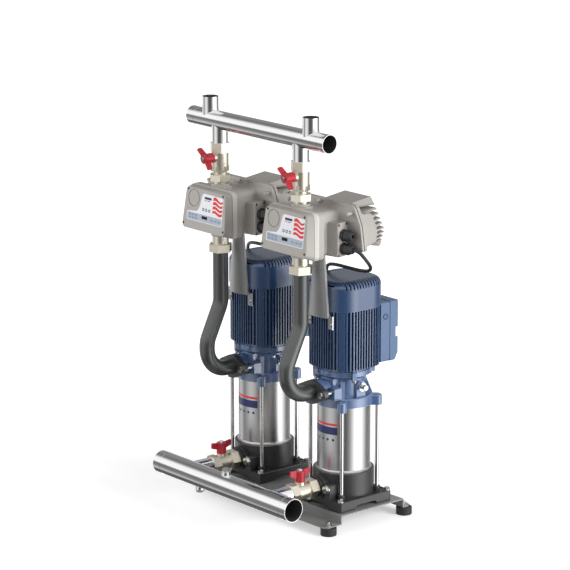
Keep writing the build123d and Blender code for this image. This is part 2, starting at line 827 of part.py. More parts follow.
def flow_body():
    body = extrude(facing_front(body_front_back) * panel_outline(), body_front_back - seam_y)
    height = body_top - body_bottom
    neck = block(-neck_half, neck_half, body_front_back - 1, rim_front + 1, body_bottom, body_top)
    body += fillet(neck.edges().filter_by(Axis.Y), 12)
    flare = loft([facing_front(rim_front - 14) * Pos(0, body_bottom + height / 2)
                  * RectangleRounded(2 * neck_half - 6, height - 6, 10),
                  facing_front(rim_front) * rim_outline(8)])
    height = wiring_top - wiring_bottom
    body += flare - extrude(wiring_plane() * Rectangle(wiring_width + 2, height + 2), 60)
    body += extrude(facing_front(rim_joint - rim_groove_width) * rim_outline(),
                    rim_joint - rim_groove_width - rim_front)
    body += extrude(facing_front(rim_joint) * rim_outline(rim_groove_depth), rim_groove_width)
    for x, z in ((-4, 852), (115, 838), (-115, 838)):
        body += along_y(rim_screw_radius, rim_screw_front, rim_front + 1, x, z)
    # Terminal chamber on the right-hand side
    chamber = wiring_plane() * RectangleRounded(wiring_width, wiring_top - wiring_bottom, 6)
    body += extrude(chamber, -40)
    # Flow tube from port to port
    body += upright(flow_radius, controller_port_bottom, controller_port_top, y=discharge_y)
    body += upright(port_ring, panel_top - 6, panel_top + 3, y=discharge_y)
    # Electronics spaces in front of and behind the wall that carries the board
    space = block(-neck_half + 4, neck_half - 4, seam_y, rim_joint, body_bottom + 4, body_top - 4)
    space -= block(-neck_half, neck_half, board_wall_y, body_front_back, body_bottom, body_top)
    space -= upright(flow_radius, controller_port_bottom, controller_port_top, y=discharge_y)
    body -= fillet(space.edges().filter_by(Axis.Y).filter_by(lambda e: abs(e.center().X) > 60), 8)
    body -= extrude(wiring_plane() * RectangleRounded(wiring_width - 8, height - 8, 4), -30)
    # Water way with the check valve's seat and stem guide
    low = controller_port_bottom
    way = upright(port_bore, low, seat_z) + upright(seat_bore, low, seat_z + 5)
    way += upright(port_bore + 1.5, seat_z + 3, controller_port_top)
    way += upright(spigot_radius + running, low, low + spigot_length)
    way += upright(spigot_radius + running, controller_port_top - spigot_length, controller_port_top)
    guide = upright(stem_radius + 3, guide_z, guide_z + 6)
    for turn in range(3):
        guide += Rot(0, 0, 120 * turn) * block(0, port_bore + 3, -1.5, 1.5, guide_z, guide_z + 6)
    guide -= upright(stem_radius + running, guide_z, guide_z + 6)
    return body - Pos(0, discharge_y, 0) * (way - guide)


def check_valve():
    seat = seat_z + 3
    poppet = upright(poppet_radius, seat, seat + 3) + upright(7, seat + 3, seat + 8)
    poppet += upright(stem_radius, seat + 3, guide_z + 14)
    poppet += upright(seat_bore - 1.5, seat - 2, seat)
    return Pos(0, discharge_y, 0) * poppet


def control_board():
    back = board_y + board_thickness
    board = block(-62, 62, board_y, back, 742, 812)
    board += block(-30, -12, back, back + 6, 748, 760)
    for x in (-50, 50):
        for z in (750, 804):
            board += along_y(4, back, board_wall_y, x, z)
    return board


# Heatsink: the back of the controller, tapering to a stack of level fins
def heatsink():
    low = rim_outline(sink_step)
    low -= Pos(0, rim_top) * Rectangle(4 * rim_half, 2 * (rim_top - sink_top + 2))
    back = make_face(Polyline(
        (-sink_half + 18, sink_bottom), (sink_half - 18, sink_bottom), (sink_half, sink_knee),
        (sink_half_top, sink_top), (-sink_half_top, sink_top), (-sink_half, sink_knee), close=True))
    back = fillet(back.vertices(), 12)
    sink = loft([facing_front(rim_back) * low, facing_front(sink_back) * back])
    sink += extrude(facing_front(rim_back) * rim_outline(), rim_back - rim_joint)
    ends = []
    for y, top in ((rim_back - 2, pad_top_front), (pad_back, pad_top_back)):
        foot = pad_half + pad_height * 0.85
        section = make_face(Polyline((-foot, top - pad_height), (foot, top - pad_height),
                                     (pad_half, top), (-pad_half, top), close=True))
        ends.append(facing_front(y) * section)
    sink += loft(ends)
    highest = sink_top - 3 - sink_fin_gap
    for step in range(sink_fin_count):
        root = sink_top_gap_root if step == 0 else sink_fin_root
        low_edge = highest - step * sink_fin_pitch
        sink -= block(-rim_half, rim_half, root, pad_back + 2, low_edge, low_edge + sink_fin_gap)
    return sink


def wiring_cover():
    plane = wiring_plane()
    cover = extrude(plane * RectangleRounded(wiring_width, wiring_top - wiring_bottom, 6),
                    wiring_cover_thickness)
    middle = (wiring_bottom + wiring_top) / 2
    for z in (gland_upper_z, gland_lower_z):
        hole = plane * Pos(0, z - middle) * Circle(gland_thread_radius + running)
        cover -= extrude(hole, wiring_cover_thickness)
    return cover


def gland(open_bore):
    """A cable gland along +Z, its hexagon standing on the face at height 0."""
    body = hexagon(gland_flats, 0, 7, 15)
    body += upright(12.4, 7, 11)
    body += hexagon(gland_flats - 1, 11, 23, 15)
    body += Pos(0, 0, 23) * Cone(12.6, 10.6, 9, align=(Align.CENTER, Align.CENTER, Align.MIN))
    body += upright(gland_thread_radius, -8, 0)
    if open_bore:
        body -= upright(5.2, -8, 32)
    return body


gland_length = 32.0


def cable_glands():
    plane = wiring_plane(wiring_cover_thickness)
    middle = (wiring_bottom + wiring_top) / 2
    glands = [Location(plane) * Pos(0, z - middle, 0) * gland(empty)
              for z, empty in ((gland_upper_z, True), (gland_lower_z, False))]
    motor = Pos(-box_half, (box_front + box_joint) / 2, box_gland_z) * Rot(0, -90, 0) * gland(False)
    return glands + [motor]


# Ball valves. Each is built upright: flow along Z, stem along -Y
port_socket_end = suction_valve_back + port_socket_depth


def valve_form(bottom, top, stem_at, neck_radius, neck, lower, upper):
    """The body of a valve, from the neck below its lower hexagon to its upper socket. Each
    hexagon is given by its flats, its length and its turn."""
    body = upright(valve_radius, bottom + 4, top - 4)
    body += hexagon(lower[0], bottom, bottom + lower[1], lower[2])
    body += hexagon(upper[0], top - upper[1], top, upper[2])
    body += along_y(stem_boss_radius, 0.5 - hub_start, 0, z=stem_at)
    body += upright(neck_radius, bottom - neck, bottom)
    body -= upright(ball_bore + 1, bottom - neck, top)
    body -= upright(stub_radius + running, top - socket_depth, top)
    body -= Pos(0, 0, stem_at) * Sphere(ball_radius + running)
    body -= along_y(stem_shaft_radius + running, -hub_start, 0, z=stem_at)
    return body


def valve_ball(stem_at):
    """The ball with its cross bore, and the stem that turns it by a tang."""
    ball = Sphere(ball_radius) - Cylinder(ball_bore, 3 * ball_radius)
    ball -= block(-6, 6, -ball_radius - 1, -ball_radius + 3.5, -2.5, 2.5)
    stem = along_y(stem_shaft_radius, -hub_start - hub_length - 4, -ball_radius - 0.2)
    stem += block(-3.2, 3.2, -ball_radius - 1, -ball_radius + 3.2, -2.3, 2.3)
    stem += along_y(6.5, -hub_start - hub_length - 3, -hub_start - hub_length)
    return [Pos(0, 0, stem_at) * piece for piece in (ball, stem)]


def valve_handle():
    """A butterfly handle on a stem along -Y, its wings along Z."""
    end = -hub_start - hub_length
    hub = along_y(hub_radius, end, -hub_start)
    hub = fillet(hub.edges().group_by(Axis.Y)[0], 2)
    wing = make_face(Polyline((end + 1, 4), (end - 3, wing_span / 2), (end + wing_height - 5, wing_span / 2),
                              (end + wing_height + 3, 4), close=True))
    wing = fillet(wing.vertices().group_by(Axis.Y)[-1], 3)
    plate = extrude(Plane.YZ * wing, wing_thickness / 2, both=True)
    hub += plate + mirror(plate, Plane.XY)
    return hub - along_y(stem_shaft_radius + running, end, -hub_start)


def suction_frame(piece):
    """Places an upright valve piece in the suction line, stem up."""
    return Pos(0, suction_stem_y, suction_z) * Rot(-90, 0, 0) * Rot(0, 0, 180) * Rot(180, 0, 0) * piece


def suction_valve_pieces():
    ahead = suction_stem_y - suction_valve_front
    behind = suction_valve_back - suction_stem_y
    body = valve_form(-behind, ahead, 0.0, port_socket_radius, port_socket_depth - 1,
                      (suction_hex_flats, suction_hex_length, 0),
                      (suction_socket_flats, suction_socket_length, 0))
    return body, valve_ball(0.0), valve_handle()


def discharge_valve_pieces():
    neck = discharge_valve_bottom - (upper_nut_top - nut_lip - union_collar)
    body = valve_form(discharge_valve_bottom, discharge_valve_top, discharge_stem_z, neck_radius, neck,
                      (valve_collar_flats, valve_collar_length, 0), (valve_flats, valve_hex_length, 30))
    collar_bottom = upper_nut_top - nut_lip - union_collar
    collar = upright(tail_radius - 0.1, collar_bottom, collar_bottom + union_collar)
    body += collar - upright(ball_bore + 1, collar_bottom, collar_bottom + union_collar)
    handle = Pos(0, 0, discharge_stem_z) * Rot(0, -discharge_handle_angle, 0) * valve_handle()
    return body, valve_ball(discharge_stem_z), handle


# Manifolds: welded tubes with stubs, a weld seam near each end and at each stub's foot
def end_seams(radius, half):
    """The two seams around a manifold, each a short way from its end."""
    seam = along_x(radius + weld_height, half - end_seam - weld_width, half - end_seam)
    return [seam, mirror(seam, Plane.YZ)]


def suction_manifold():
    half = suction_length / 2
    pipe = along_x(suction_pipe_radius, -half, half)
    bore = along_x(suction_pipe_radius - pipe_wall, -half, half)
    reach = suction_valve_front + socket_depth - loose - suction_manifold_y
    pipe += end_seams(suction_pipe_radius, half)
    for side in (-1, 1):
        x = side * pump_pitch / 2
        pipe += along_y(stub_radius, 0, reach, x)
        pipe += along_y(stub_radius + weld_height, 0, suction_pipe_radius + stub_weld, x)
        bore += along_y(stub_radius - pipe_wall, 0, reach, x)
    top = suction_pipe_radius
    pipe += upright(boss_radius, top - 6, top + 7, fill_boss_x)
    pipe += upright(boss_radius, -top - 5, -top + 6, drain_boss_x)
    bore += upright(plug_thread_radius + running, top - 8, top + 7, fill_boss_x)
    bore += upright(plug_thread_radius + running, -top - 5, -top + 8, drain_boss_x)
    return Pos(0, suction_manifold_y, suction_z) * (pipe - bore)


def discharge_manifold():
    half = discharge_length / 2
    pipe = along_x(discharge_pipe_radius, -half, half)
    bore = along_x(discharge_pipe_radius - pipe_wall, -half, half)
    low = discharge_valve_top - socket_depth + loose - discharge_z
    high = outlet_stub_top - discharge_z
    weld = discharge_pipe_radius + stub_weld
    pipe += end_seams(discharge_pipe_radius, half)
    for side in (-1, 1):
        x, out = side * pump_pitch / 2, side * outlet_stub_x
        pipe += upright(stub_radius, low, 0, x) + upright(stub_radius, 0, high, out)
        pipe += upright(stub_radius + weld_height, -weld, 0, x)
        pipe += upright(stub_radius + weld_height, 0, weld, out)
        bore += upright(stub_radius - pipe_wall, low, 0, x)
        bore += upright(stub_radius - pipe_wall, 0, high, out)
    return Pos(0, discharge_y, discharge_z) * (pipe - bore)


def hex_plug():
    """A hexagon plug screwed down along -Z, its head on the face at height 0."""
    return upright(plug_thread_radius, -9, 0) + upright(11, 0, 2) + hexagon(17, 2, 9)


def priming_plug():
    """The priming plug: a flat hexagon screwed into the boss, and a vent screw on a thin neck."""
    plug = upright(plug_thread_radius, -9, 0) + hexagon(22, 0, 7)
    return plug + upright(4.5, 7, 12) + hexagon(13, 12, 20)


def manifold_plugs():
    top = suction_z + suction_pipe_radius
    fill = Pos(fill_boss_x, suction_manifold_y, top + 7) * hex_plug()
    low = suction_z - suction_pipe_radius - 5
    drain = Pos(drain_boss_x, suction_manifold_y, low) * Rot(180, 0, 0) * hex_plug()
    return [fill, drain]


def pump_plugs():
    drain = Pos(drain_x, drain_face_y, drain_z) * Rot(90, 0, 0) * hex_plug()
    priming = Pos(priming_face_x, 0, priming_z) * Rot(0, 90, 0) * priming_plug()
    return [drain, priming]


# Bracket: a tapering curved channel from the motor fins up to the controller
def bracket_section(half, z):
    back = -motor_half - loose - clip_sheet
    inner = half - bracket_sheet
    front = bracket_y - bracket_bulge
    lines = [Line((-inner, back), (-half, back)), Line((-half, back), (-half, bracket_y)),
             ThreePointArc((-half, bracket_y), (0, front), (half, bracket_y)),
             Line((half, bracket_y), (half, back)), Line((half, back), (inner, back)),
             Line((inner, back), (inner, bracket_y)),
             ThreePointArc((inner, bracket_y), (0, front + bracket_sheet), (-inner, bracket_y)),
             Line((-inner, bracket_y), (-inner, back))]
    return Pos(0, 0, z) * make_face(lines)


def motor_bracket():
    return loft([bracket_section(bracket_half_bottom, bracket_bottom),
                 bracket_section(bracket_half_top, body_bottom)])


def bracket_clips():
    front = -motor_half - loose - clip_sheet
    clips = []
    for side in (-1, 1):
        x = side * clip_x
        clip = block(x - clip_width / 2, x + clip_width / 2, front, front + clip_sheet,
                     clip_bottom, bracket_bottom + clip_overlap)
        clip += along_y(4.5, front - 3, front, x, clip_bottom + 12)
        clips.append(clip)
    return clips


# Motor cable: from the lower controller gland, over the fan cover, down behind
# the motor and into the terminal box. Each bend takes 0.45 of its shorter run.
def gland_tip():
    plane = wiring_plane(wiring_cover_thickness + gland_length)
    tip = plane.origin
    return Vector(tip.X, tip.Y, gland_lower_z), plane.z_dir


def cable_points():
    tip, out = gland_tip()
    box_tip = (-box_half - gland_length, (box_front + box_joint) / 2, box_gland_z)
    return [tuple(tip), tuple(tip + out * 17), (157, -69, 725), (148, -42, 699), (118, -22, 681),
            (68, -8, 671), (9, 0, 668), (-42, 4, 666), (-80, 14, 658), (-108, 33, 638),
            (-132, 54, 606), (-144, 78, 570), (-122, box_tip[1], box_tip[2]), box_tip]


def cable_radii(points):
    """One radius for each corner, and prints them."""
    radii = []
    for before, corner, after in zip(points, points[1:], points[2:]):
        come, go = Vector(*corner) - Vector(*before), Vector(*after) - Vector(*corner)
        turn = math.radians(come.get_angle(go))
        radii.append(0.45 * min(come.length, go.length) / math.tan(turn / 2))
    print("cable bend radii:", [round(r) for r in radii])
    return radii


def motor_cable():
    points = cable_points()
    path = FilletPolyline(*points, radius=cable_radii(points))
    start = Plane(path @ 0, z_dir=path % 0)
    print("cable length:", round(path.length))
    return sweep(start * Circle(cable_radius), path)


# Writing the nodes. Each unit's pieces are made once and placed at both pumps.
def save(name, pieces, places=((0, 0, 0),)):
    """Writes one node: its pieces, repeated at each place."""
    if not isinstance(pieces, (list, tuple)):
        pieces = [pieces]
    solids = []
    for place in places:
        for piece in pieces:
            solids += [Pos(*place) * solid for solid in piece.solids()]
    shape = solids[0] if len(solids) == 1 else Compound(children=solids)
    export_step(shape, "parts/" + name + ".step")


os.makedirs("parts", exist_ok=True)
left, right = (-pump_pitch / 2, 0, 0), (pump_pitch / 2, 0, 0)
both = (left, right)

save("base_frame", base_frame())
save("rubber_feet", rubber_feet())
save("foot_studs", foot_studs())
save("suction_manifold", suction_manifold())
save("discharge_manifold", discharge_manifold())
save("manifold_plugs", manifold_plugs())

suction_body, suction_ball, suction_handle = suction_valve_pieces()
discharge_body, discharge_ball, discharge_handle = discharge_valve_pieces()

shared = {
    "anchor_bolts": anchor_bolts(),
    "tie_rods": tie_rods(),
    "pump_plugs": pump_plugs(),
    "stage_bowls": stage_bowls(),
    "shaft_seals": shaft_seal(),
    "shaft_bearings": shaft_bearings(),
    "stators": stator(),
    "bearing_shields": bearing_shield(),
    "fan_covers": fan_cover(),
    "terminal_boxes": terminal_box(),
    "terminal_lids": terminal_lid(),
    "riser_flanges": riser_flange(),
    "flange_bolts": flange_bolts(),
    "union_nuts": union_nuts(),
    "union_tails": union_tails(),
    "cable_glands": cable_glands(),
    "control_boards": control_board(),
    "wiring_covers": wiring_cover(),
    "bracket_clips": bracket_clips(),
    "suction_valve_bodies": suction_frame(suction_body),
    "discharge_valve_bodies": Pos(0, discharge_y, 0) * discharge_body,
    "pump_sleeves": pump_sleeve(),
    "riser_pipes": riser_pipe(),
    "motor_brackets": motor_bracket(),
    "heatsinks": heatsink(),
    "motor_cables": motor_cable(),
}
for name, pieces in shared.items():
    save(name, pieces, both)

each = {
    "pump_base": pump_base(),
    "pump_head": pump_head(),
    "motor_housing": motor_housing(),
    "controller_cover": controller_cover(),
    "flow_body": flow_body(),
    "pump_shaft": rotor_shaft(),
    "impellers": impellers(),
    "motor_rotor": motor_rotor(),
    "cooling_fan": cooling_fan(),
    "check_valve": check_valve(),
    "suction_ball": [suction_frame(piece) for piece in suction_ball],
    "suction_handle": suction_frame(suction_handle),
    "discharge_ball": [Pos(0, discharge_y, 0) * piece for piece in discharge_ball],
    "discharge_handle": Pos(0, discharge_y, 0) * discharge_handle,
}
for side, place in (("left", left), ("right", right)):
    for name, pieces in each.items():
        save(side + "_" + name, pieces, (place,))
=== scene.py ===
import math

import bmesh
import bpy
from mathutils import Matrix, Vector


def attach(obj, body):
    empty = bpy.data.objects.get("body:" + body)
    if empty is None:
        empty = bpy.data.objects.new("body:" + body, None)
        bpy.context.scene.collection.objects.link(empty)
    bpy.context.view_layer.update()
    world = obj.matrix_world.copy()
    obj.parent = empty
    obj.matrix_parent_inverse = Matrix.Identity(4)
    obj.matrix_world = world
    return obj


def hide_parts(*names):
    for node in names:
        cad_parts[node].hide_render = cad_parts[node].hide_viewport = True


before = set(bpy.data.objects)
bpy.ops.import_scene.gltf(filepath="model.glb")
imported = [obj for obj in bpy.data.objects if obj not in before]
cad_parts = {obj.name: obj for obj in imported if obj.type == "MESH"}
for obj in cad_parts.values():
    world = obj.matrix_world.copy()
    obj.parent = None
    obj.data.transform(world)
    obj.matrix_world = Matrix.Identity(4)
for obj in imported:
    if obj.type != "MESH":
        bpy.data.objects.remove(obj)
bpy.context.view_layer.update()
scene = bpy.context.scene
scene.view_settings.view_transform = "Standard"

# Units: the set has two like pumps, placed left and right of the middle of
# the manifolds. Everything is in metres, and a pump's own x is 0 at its shaft.
SIDES = {"left": -0.16, "right": 0.16}


def both(*names):
    """The nodes of these names that each pump has for itself."""
    return [f"{side}_{name}" for side in SIDES for name in names]


# Camera: a long lens, as a catalogue picture has, looking down a little at
# the front right corner of the set.
CAMERA_AZIMUTH = math.radians(49.64)
CAMERA_ELEVATION = math.radians(14.0)
CAMERA_DISTANCE = 7.163
CAMERA_TARGET = Vector((-0.056, -0.016, 0.581))
camera_back = Vector((math.sin(CAMERA_AZIMUTH) * math.cos(CAMERA_ELEVATION),
                      -math.cos(CAMERA_AZIMUTH) * math.cos(CAMERA_ELEVATION),
                      math.sin(CAMERA_ELEVATION)))
camera = bpy.data.objects.new("camera", bpy.data.cameras.new("camera"))
scene.collection.objects.link(camera)
camera.data.lens = 173.05
camera.data.sensor_width = 36.0
camera.data.clip_end = 100.0
camera.location = CAMERA_TARGET + camera_back * CAMERA_DISTANCE
camera.rotation_euler = (-camera_back).to_track_quat("-Z", "Y").to_euler()
scene.camera = camera


# Motor cables: a 9 mm rubber cable leaves the lower gland of each controller,
# runs back over the fan cover and goes down into the motor's terminal box.
# The cable is 0.54 m long and is held at both of its ends.
CABLE_DIAMETER = 0.009
CABLE_ROUTE = [(0.13695, -0.0945, 0.750), (0.1536, -0.0909, 0.750), (0.157, -0.069, 0.725),
               (0.148, -0.042, 0.699), (0.118, -0.022, 0.681), (0.068, -0.008, 0.671),
               (0.009, 0.000, 0.668), (-0.042, 0.004, 0.666), (-0.080, 0.014, 0.658),
               (-0.108, 0.033, 0.638), (-0.132, 0.054, 0.606), (-0.144, 0.078, 0.570),
               (-0.122, 0.0955, 0.530), (-0.084, 0.0955, 0.530)]


def colour(red, green, blue):
    """A linear colour with full alpha, from the 0 to 255 values that a screen shows."""
    linear = [(v / 255 / 12.92) if v < 11 else ((v / 255 + 0.055) / 1.055) ** 2.4
              for v in (red, green, blue)]
    return (*linear, 1.0)


def node_group(name, inputs, outputs):
    """An empty shader group with these sockets, and its two end nodes."""
    group = bpy.data.node_groups.new(name, "ShaderNodeTree")
    for label, kind, value in inputs:
        socket = group.interface.new_socket(label, in_out="INPUT", socket_type=f"NodeSocket{kind}")
        socket.default_value = value
    for label, kind in outputs:
        group.interface.new_socket(label, in_out="OUTPUT", socket_type=f"NodeSocket{kind}")
    return group, group.nodes.new("NodeGroupInput"), group.nodes.new("NodeGroupOutput")


def math_node(tree, operation, first, second=None, third=None):
    """A Math node's output; a number is set on its socket and an output is linked."""
    node = tree.nodes.new("ShaderNodeMath")
    node.operation = operation
    for socket, value in zip(node.inputs, (first, second, third)):
        if isinstance(value, bpy.types.NodeSocket):
            tree.links.new(value, socket)
        elif value is not None:
            socket.default_value = value
    return node.outputs[0]


def mixed(tree, factor, first, second):
    """The output of a colour mix."""
    node = tree.nodes.new("ShaderNodeMix")
    node.data_type = "RGBA"
    for index, value in ((0, factor), (6, first), (7, second)):
        if isinstance(value, bpy.types.NodeSocket):
            tree.links.new(value, node.inputs[index])
        else:
            node.inputs[index].default_value = value
    return node.outputs[2]


def noise(tree, scale, detail=2.0, stretch=None):
    """Noise over the object's own coordinates, drawn out along an axis by stretch."""
    place = tree.nodes.new("ShaderNodeTexCoord").outputs["Object"]
    if stretch:
        mapping = tree.nodes.new("ShaderNodeMapping")
        mapping.inputs["Scale"].default_value = stretch
        tree.links.new(place, mapping.inputs["Vector"])
        place = mapping.outputs[0]
    node = tree.nodes.new("ShaderNodeTexNoise")
    node.inputs["Detail"].default_value = detail
    tree.links.new(place, node.inputs["Vector"])
    if isinstance(scale, bpy.types.NodeSocket):
        tree.links.new(scale, node.inputs["Scale"])
    else:
        node.inputs["Scale"].default_value = scale
    return node.outputs["Fac"]


# Surface group: slow patches of tone over a fine grain, as paint on a casting,
# moulded plastic and rubber have.
surface, entry, leave = node_group(
    "surface",
    [("Colour", "Color", (0.5, 0.5, 0.5, 1)), ("Patch Colour", "Color", (0.4, 0.4, 0.4, 1)),
     ("Patch Scale", "Float", 18.0), ("Grain Scale", "Float", 900.0),
     ("Roughness", "Float", 0.4), ("Roughness Spread", "Float", 0.1)],
    [("Colour", "Color"), ("Roughness", "Float"), ("Height", "Float")])
patches = noise(surface, entry.outputs["Patch Scale"], 4.0)
grain = noise(surface, entry.outputs["Grain Scale"])
surface.links.new(mixed(surface, patches, entry.outputs["Colour"], entry.outputs["Patch Colour"]),
                  leave.inputs["Colour"])
swing = math_node(surface, "SUBTRACT", patches, 0.5)
surface.links.new(math_node(surface, "MULTIPLY_ADD", swing, entry.outputs["Roughness Spread"],
                            entry.outputs["Roughness"]), leave.inputs["Roughness"])
surface.links.new(grain, leave.inputs["Height"])

# Edge group: finds the outside edges of a piece, where paint lies thin and a
# casting is rubbed bright; the lighter edge tone is also a painted highlight of
# light caught on the edge.
edges, entry, leave = node_group("edges", [("Width", "Float", 0.0012)], [("Mask", "Float")])
rounded_normal = edges.nodes.new("ShaderNodeBevel")
edges.links.new(entry.outputs["Width"], rounded_normal.inputs["Radius"])
compare = edges.nodes.new("ShaderNodeVectorMath")
compare.operation = "DOT_PRODUCT"
edges.links.new(rounded_normal.outputs[0], compare.inputs[0])
edges.links.new(edges.nodes.new("ShaderNodeNewGeometry").outputs["Normal"], compare.inputs[1])
turned_by = math_node(edges, "SUBTRACT", 1.0, compare.outputs["Value"])
edge_amount = math_node(edges, "MULTIPLY", turned_by, 6.0)
edges.links.new(math_node(edges, "MINIMUM", edge_amount, 1.0), leave.inputs["Mask"])


def placed(tree, group, **values):
    """A group node in a material, with its own values."""
    node = tree.nodes.new("ShaderNodeGroup")
    node.node_tree = group
    for label, value in values.items():
        node.inputs[label.replace("_", " ").title()].default_value = value
    return node


def bump(tree, height, strength, depth):
    """A Bump node fed with a height, joined to the material's normal."""
    node = tree.nodes.new("ShaderNodeBump")
    node.inputs["Strength"].default_value = strength
    node.inputs["Distance"].default_value = depth
    tree.links.new(height, node.inputs["Height"])
    tree.links.new(node.outputs[0], tree.nodes["Principled BSDF"].inputs["Normal"])


def painted(name, tone, patch_tone, edge_tone=None, roughness=0.4, spread=0.1, grain=900.0,
            depth=0.00005, patch=18.0, edge=0.0012, **plain):
    """Paint, plastic or rubber: the surface group, with edges lighter where a tone is given, as wear
    and painted highlight.
    """
    material = bpy.data.materials.new(name)
    material.use_nodes = True
    tree = material.node_tree
    shader = tree.nodes["Principled BSDF"]
    for label, value in plain.items():
        shader.inputs[label.replace("_", " ")].default_value = value
    skin = placed(tree, surface, colour=tone, patch_colour=patch_tone, patch_scale=patch,
                  grain_scale=grain, roughness=roughness, roughness_spread=spread)
    shade = skin.outputs["Colour"]
    if edge_tone:
        # Lighter edges: paint worn thin, and a painted highlight of light on the edge.
        edge_wear_and_highlight = placed(tree, edges, width=edge)
        shade = mixed(tree, edge_wear_and_highlight.outputs["Mask"], shade, edge_tone)
    tree.links.new(shade, shader.inputs["Base Color"])
    tree.links.new(skin.outputs["Roughness"], shader.inputs["Roughness"])
    bump(tree, skin.outputs["Height"], 0.35, depth)
    return material


def coat(material, *nodes):
    """Gives CAD nodes this material in place of the plain one they were packed with."""
    for node in nodes:
        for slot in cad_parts[node].material_slots:
            slot.material = material


cable_rubber = painted("cable_rubber", colour(44, 44, 46), colour(34, 34, 36), roughness=0.42,
                       grain=1600.0)
for side, x in SIDES.items():
    curve = bpy.data.curves.new(f"{side}_motor_cable", "CURVE")
    curve.dimensions = "3D"
    curve.bevel_depth = CABLE_DIAMETER / 2
    curve.bevel_resolution = 5
    curve.resolution_u = 16
    spline = curve.splines.new("NURBS")
    spline.points.add(len(CABLE_ROUTE) - 1)
    for point, place in zip(spline.points, CABLE_ROUTE):
        point.co = (place[0] + x, place[1], place[2], 1.0)
    spline.order_u = 3
    spline.use_endpoint_u = True
    curve.materials.append(cable_rubber)
    cable = bpy.data.objects.new(f"{side}_motor_cable", curve)
    scene.collection.objects.link(cable)
    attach(cable, "root")
    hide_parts("motor_cables")


# Studio: a pale floor that keeps a soft shadow and whitens for the camera with
# distance, a white backdrop, and a sky that metal mirrors as light panels at
# both sides with dark gaps between.
FLOOR_HALF = 6.0
floor_mesh = bpy.data.meshes.new("studio_floor")
floor_mesh.from_pydata([(-FLOOR_HALF, -FLOOR_HALF, 0), (FLOOR_HALF, -FLOOR_HALF, 0),
                        (FLOOR_HALF, FLOOR_HALF, 0), (-FLOOR_HALF, FLOOR_HALF, 0)],
                       [], [(0, 1, 2, 3)])
floor = bpy.data.objects.new("studio_floor", floor_mesh)
scene.collection.objects.link(floor)
floor.visible_glossy = False
floor_paint = bpy.data.materials.new("studio_floor")
floor_paint.use_nodes = True
tree = floor_paint.node_tree
shader = tree.nodes["Principled BSDF"]
shader.inputs["Roughness"].default_value = 1.0
shader.inputs["Specular IOR Level"].default_value = 0.0
shader.inputs["Emission Color"].default_value = (1, 1, 1, 1)
by_camera = tree.nodes.new("ShaderNodeLightPath").outputs["Is Camera Ray"]
from_set = tree.nodes.new("ShaderNodeVectorMath")
from_set.operation = "LENGTH"
tree.links.new(tree.nodes.new("ShaderNodeTexCoord").outputs["Object"], from_set.inputs[0])
glow = tree.nodes.new("ShaderNodeMapRange")
glow.interpolation_type = "SMOOTHSTEP"
for label, value in (("From Min", 0.45), ("From Max", 1.8), ("To Min", 0.4), ("To Max", 0.85)):
    glow.inputs[label].default_value = value
tree.links.new(from_set.outputs["Value"], glow.inputs["Value"])
tree.links.new(math_node(tree, "MULTIPLY", by_camera, glow.outputs["Result"]),
               shader.inputs["Emission Strength"])
tree.links.new(mixed(tree, by_camera, (0.55, 0.55, 0.55, 1), (0.92, 0.92, 0.92, 1)),
               shader.inputs["Base Color"])
floor_mesh.materials.append(floor_paint)


def ramp(tree, value, stops):
    """A grey ramp: each stop is a place from 0 to 1 and a brightness."""
    node = tree.nodes.new("ShaderNodeValToRGB")
    elements = node.color_ramp.elements
    while len(elements) < len(stops):
        elements.new(0.5)
    for element, (place, brightness) in zip(elements, stops):
        element.position = place
        element.color = (brightness, brightness, brightness, 1)
    tree.links.new(value, node.inputs["Fac"])
    return node.outputs["Color"]


world = bpy.data.worlds.new("studio")
scene.world = world
world.use_nodes = True
tree = world.node_tree
for node in list(tree.nodes):
    tree.nodes.remove(node)
direction = tree.nodes.new("ShaderNodeTexCoord").outputs["Generated"]


def along(axis):
    """How far the sky's direction points along an axis."""
    node = tree.nodes.new("ShaderNodeVectorMath")
    node.operation = "DOT_PRODUCT"
    node.inputs[1].default_value = axis
    tree.links.new(direction, node.inputs[0])
    return node.outputs["Value"]


towards = Vector((math.sin(CAMERA_AZIMUTH), -math.cos(CAMERA_AZIMUTH), 0))
rightward = Vector((math.cos(CAMERA_AZIMUTH), math.sin(CAMERA_AZIMUTH), 0))
turn = math_node(tree, "ARCTAN2", along(rightward), along(towards))
turn = math_node(tree, "MULTIPLY_ADD", turn, 1 / math.tau, 0.5)
SKY_STRENGTH = 4.0


def degrees(*stops):
    """Ramp stops from angles of -180 to 180 degrees and brightnesses of the sky."""
    return [((angle + 180) / 360, level / SKY_STRENGTH) for angle, level in stops]


low_sky = ramp(tree, turn, degrees((-180, 1.0), (-130, 1.15), (-114, 0.8), (-99, 0.15), (-84, 0.7),
                                   (-60, 1.1), (-40, 0.7), (-24, 0.13), (0, 0.1), (14, 0.16),
                                   (26, 0.5), (40, 1.7), (58, 3.6), (78, 3.0), (98, 1.0),
                                   (116, 0.2), (124, 0.15), (150, 0.7)))
high_sky = ramp(tree, turn, degrees((-180, 0.3), (-158, 0.28), (-142, 0.2), (-126, 0.25), (-110, 1.2),
                                    (-60, 1.3), (60, 1.3), (112, 1.0), (140, 0.5)))
height = math_node(tree, "MULTIPLY_ADD", along(Vector((0, 0, 1))), 0.5, 0.5)
between = ramp(tree, height, [(0.5, 0.0), (0.57, 1.0)])
ground = ramp(tree, height, [(0.12, 0.28), (0.165, 0.1), (0.195, 0.12), (0.235, 1.0)])
sky = mixed(tree, between, low_sky, high_sky)
panels = tree.nodes.new("ShaderNodeMix")
panels.data_type = "RGBA"
panels.blend_type = "MULTIPLY"
panels.inputs[0].default_value = 1.0
tree.links.new(sky, panels.inputs[6])
tree.links.new(ground, panels.inputs[7])
paths = tree.nodes.new("ShaderNodeLightPath")
mirrored = tree.nodes.new("ShaderNodeBackground")
mirrored.inputs["Strength"].default_value = SKY_STRENGTH
tree.links.new(panels.outputs[2], mirrored.inputs["Color"])
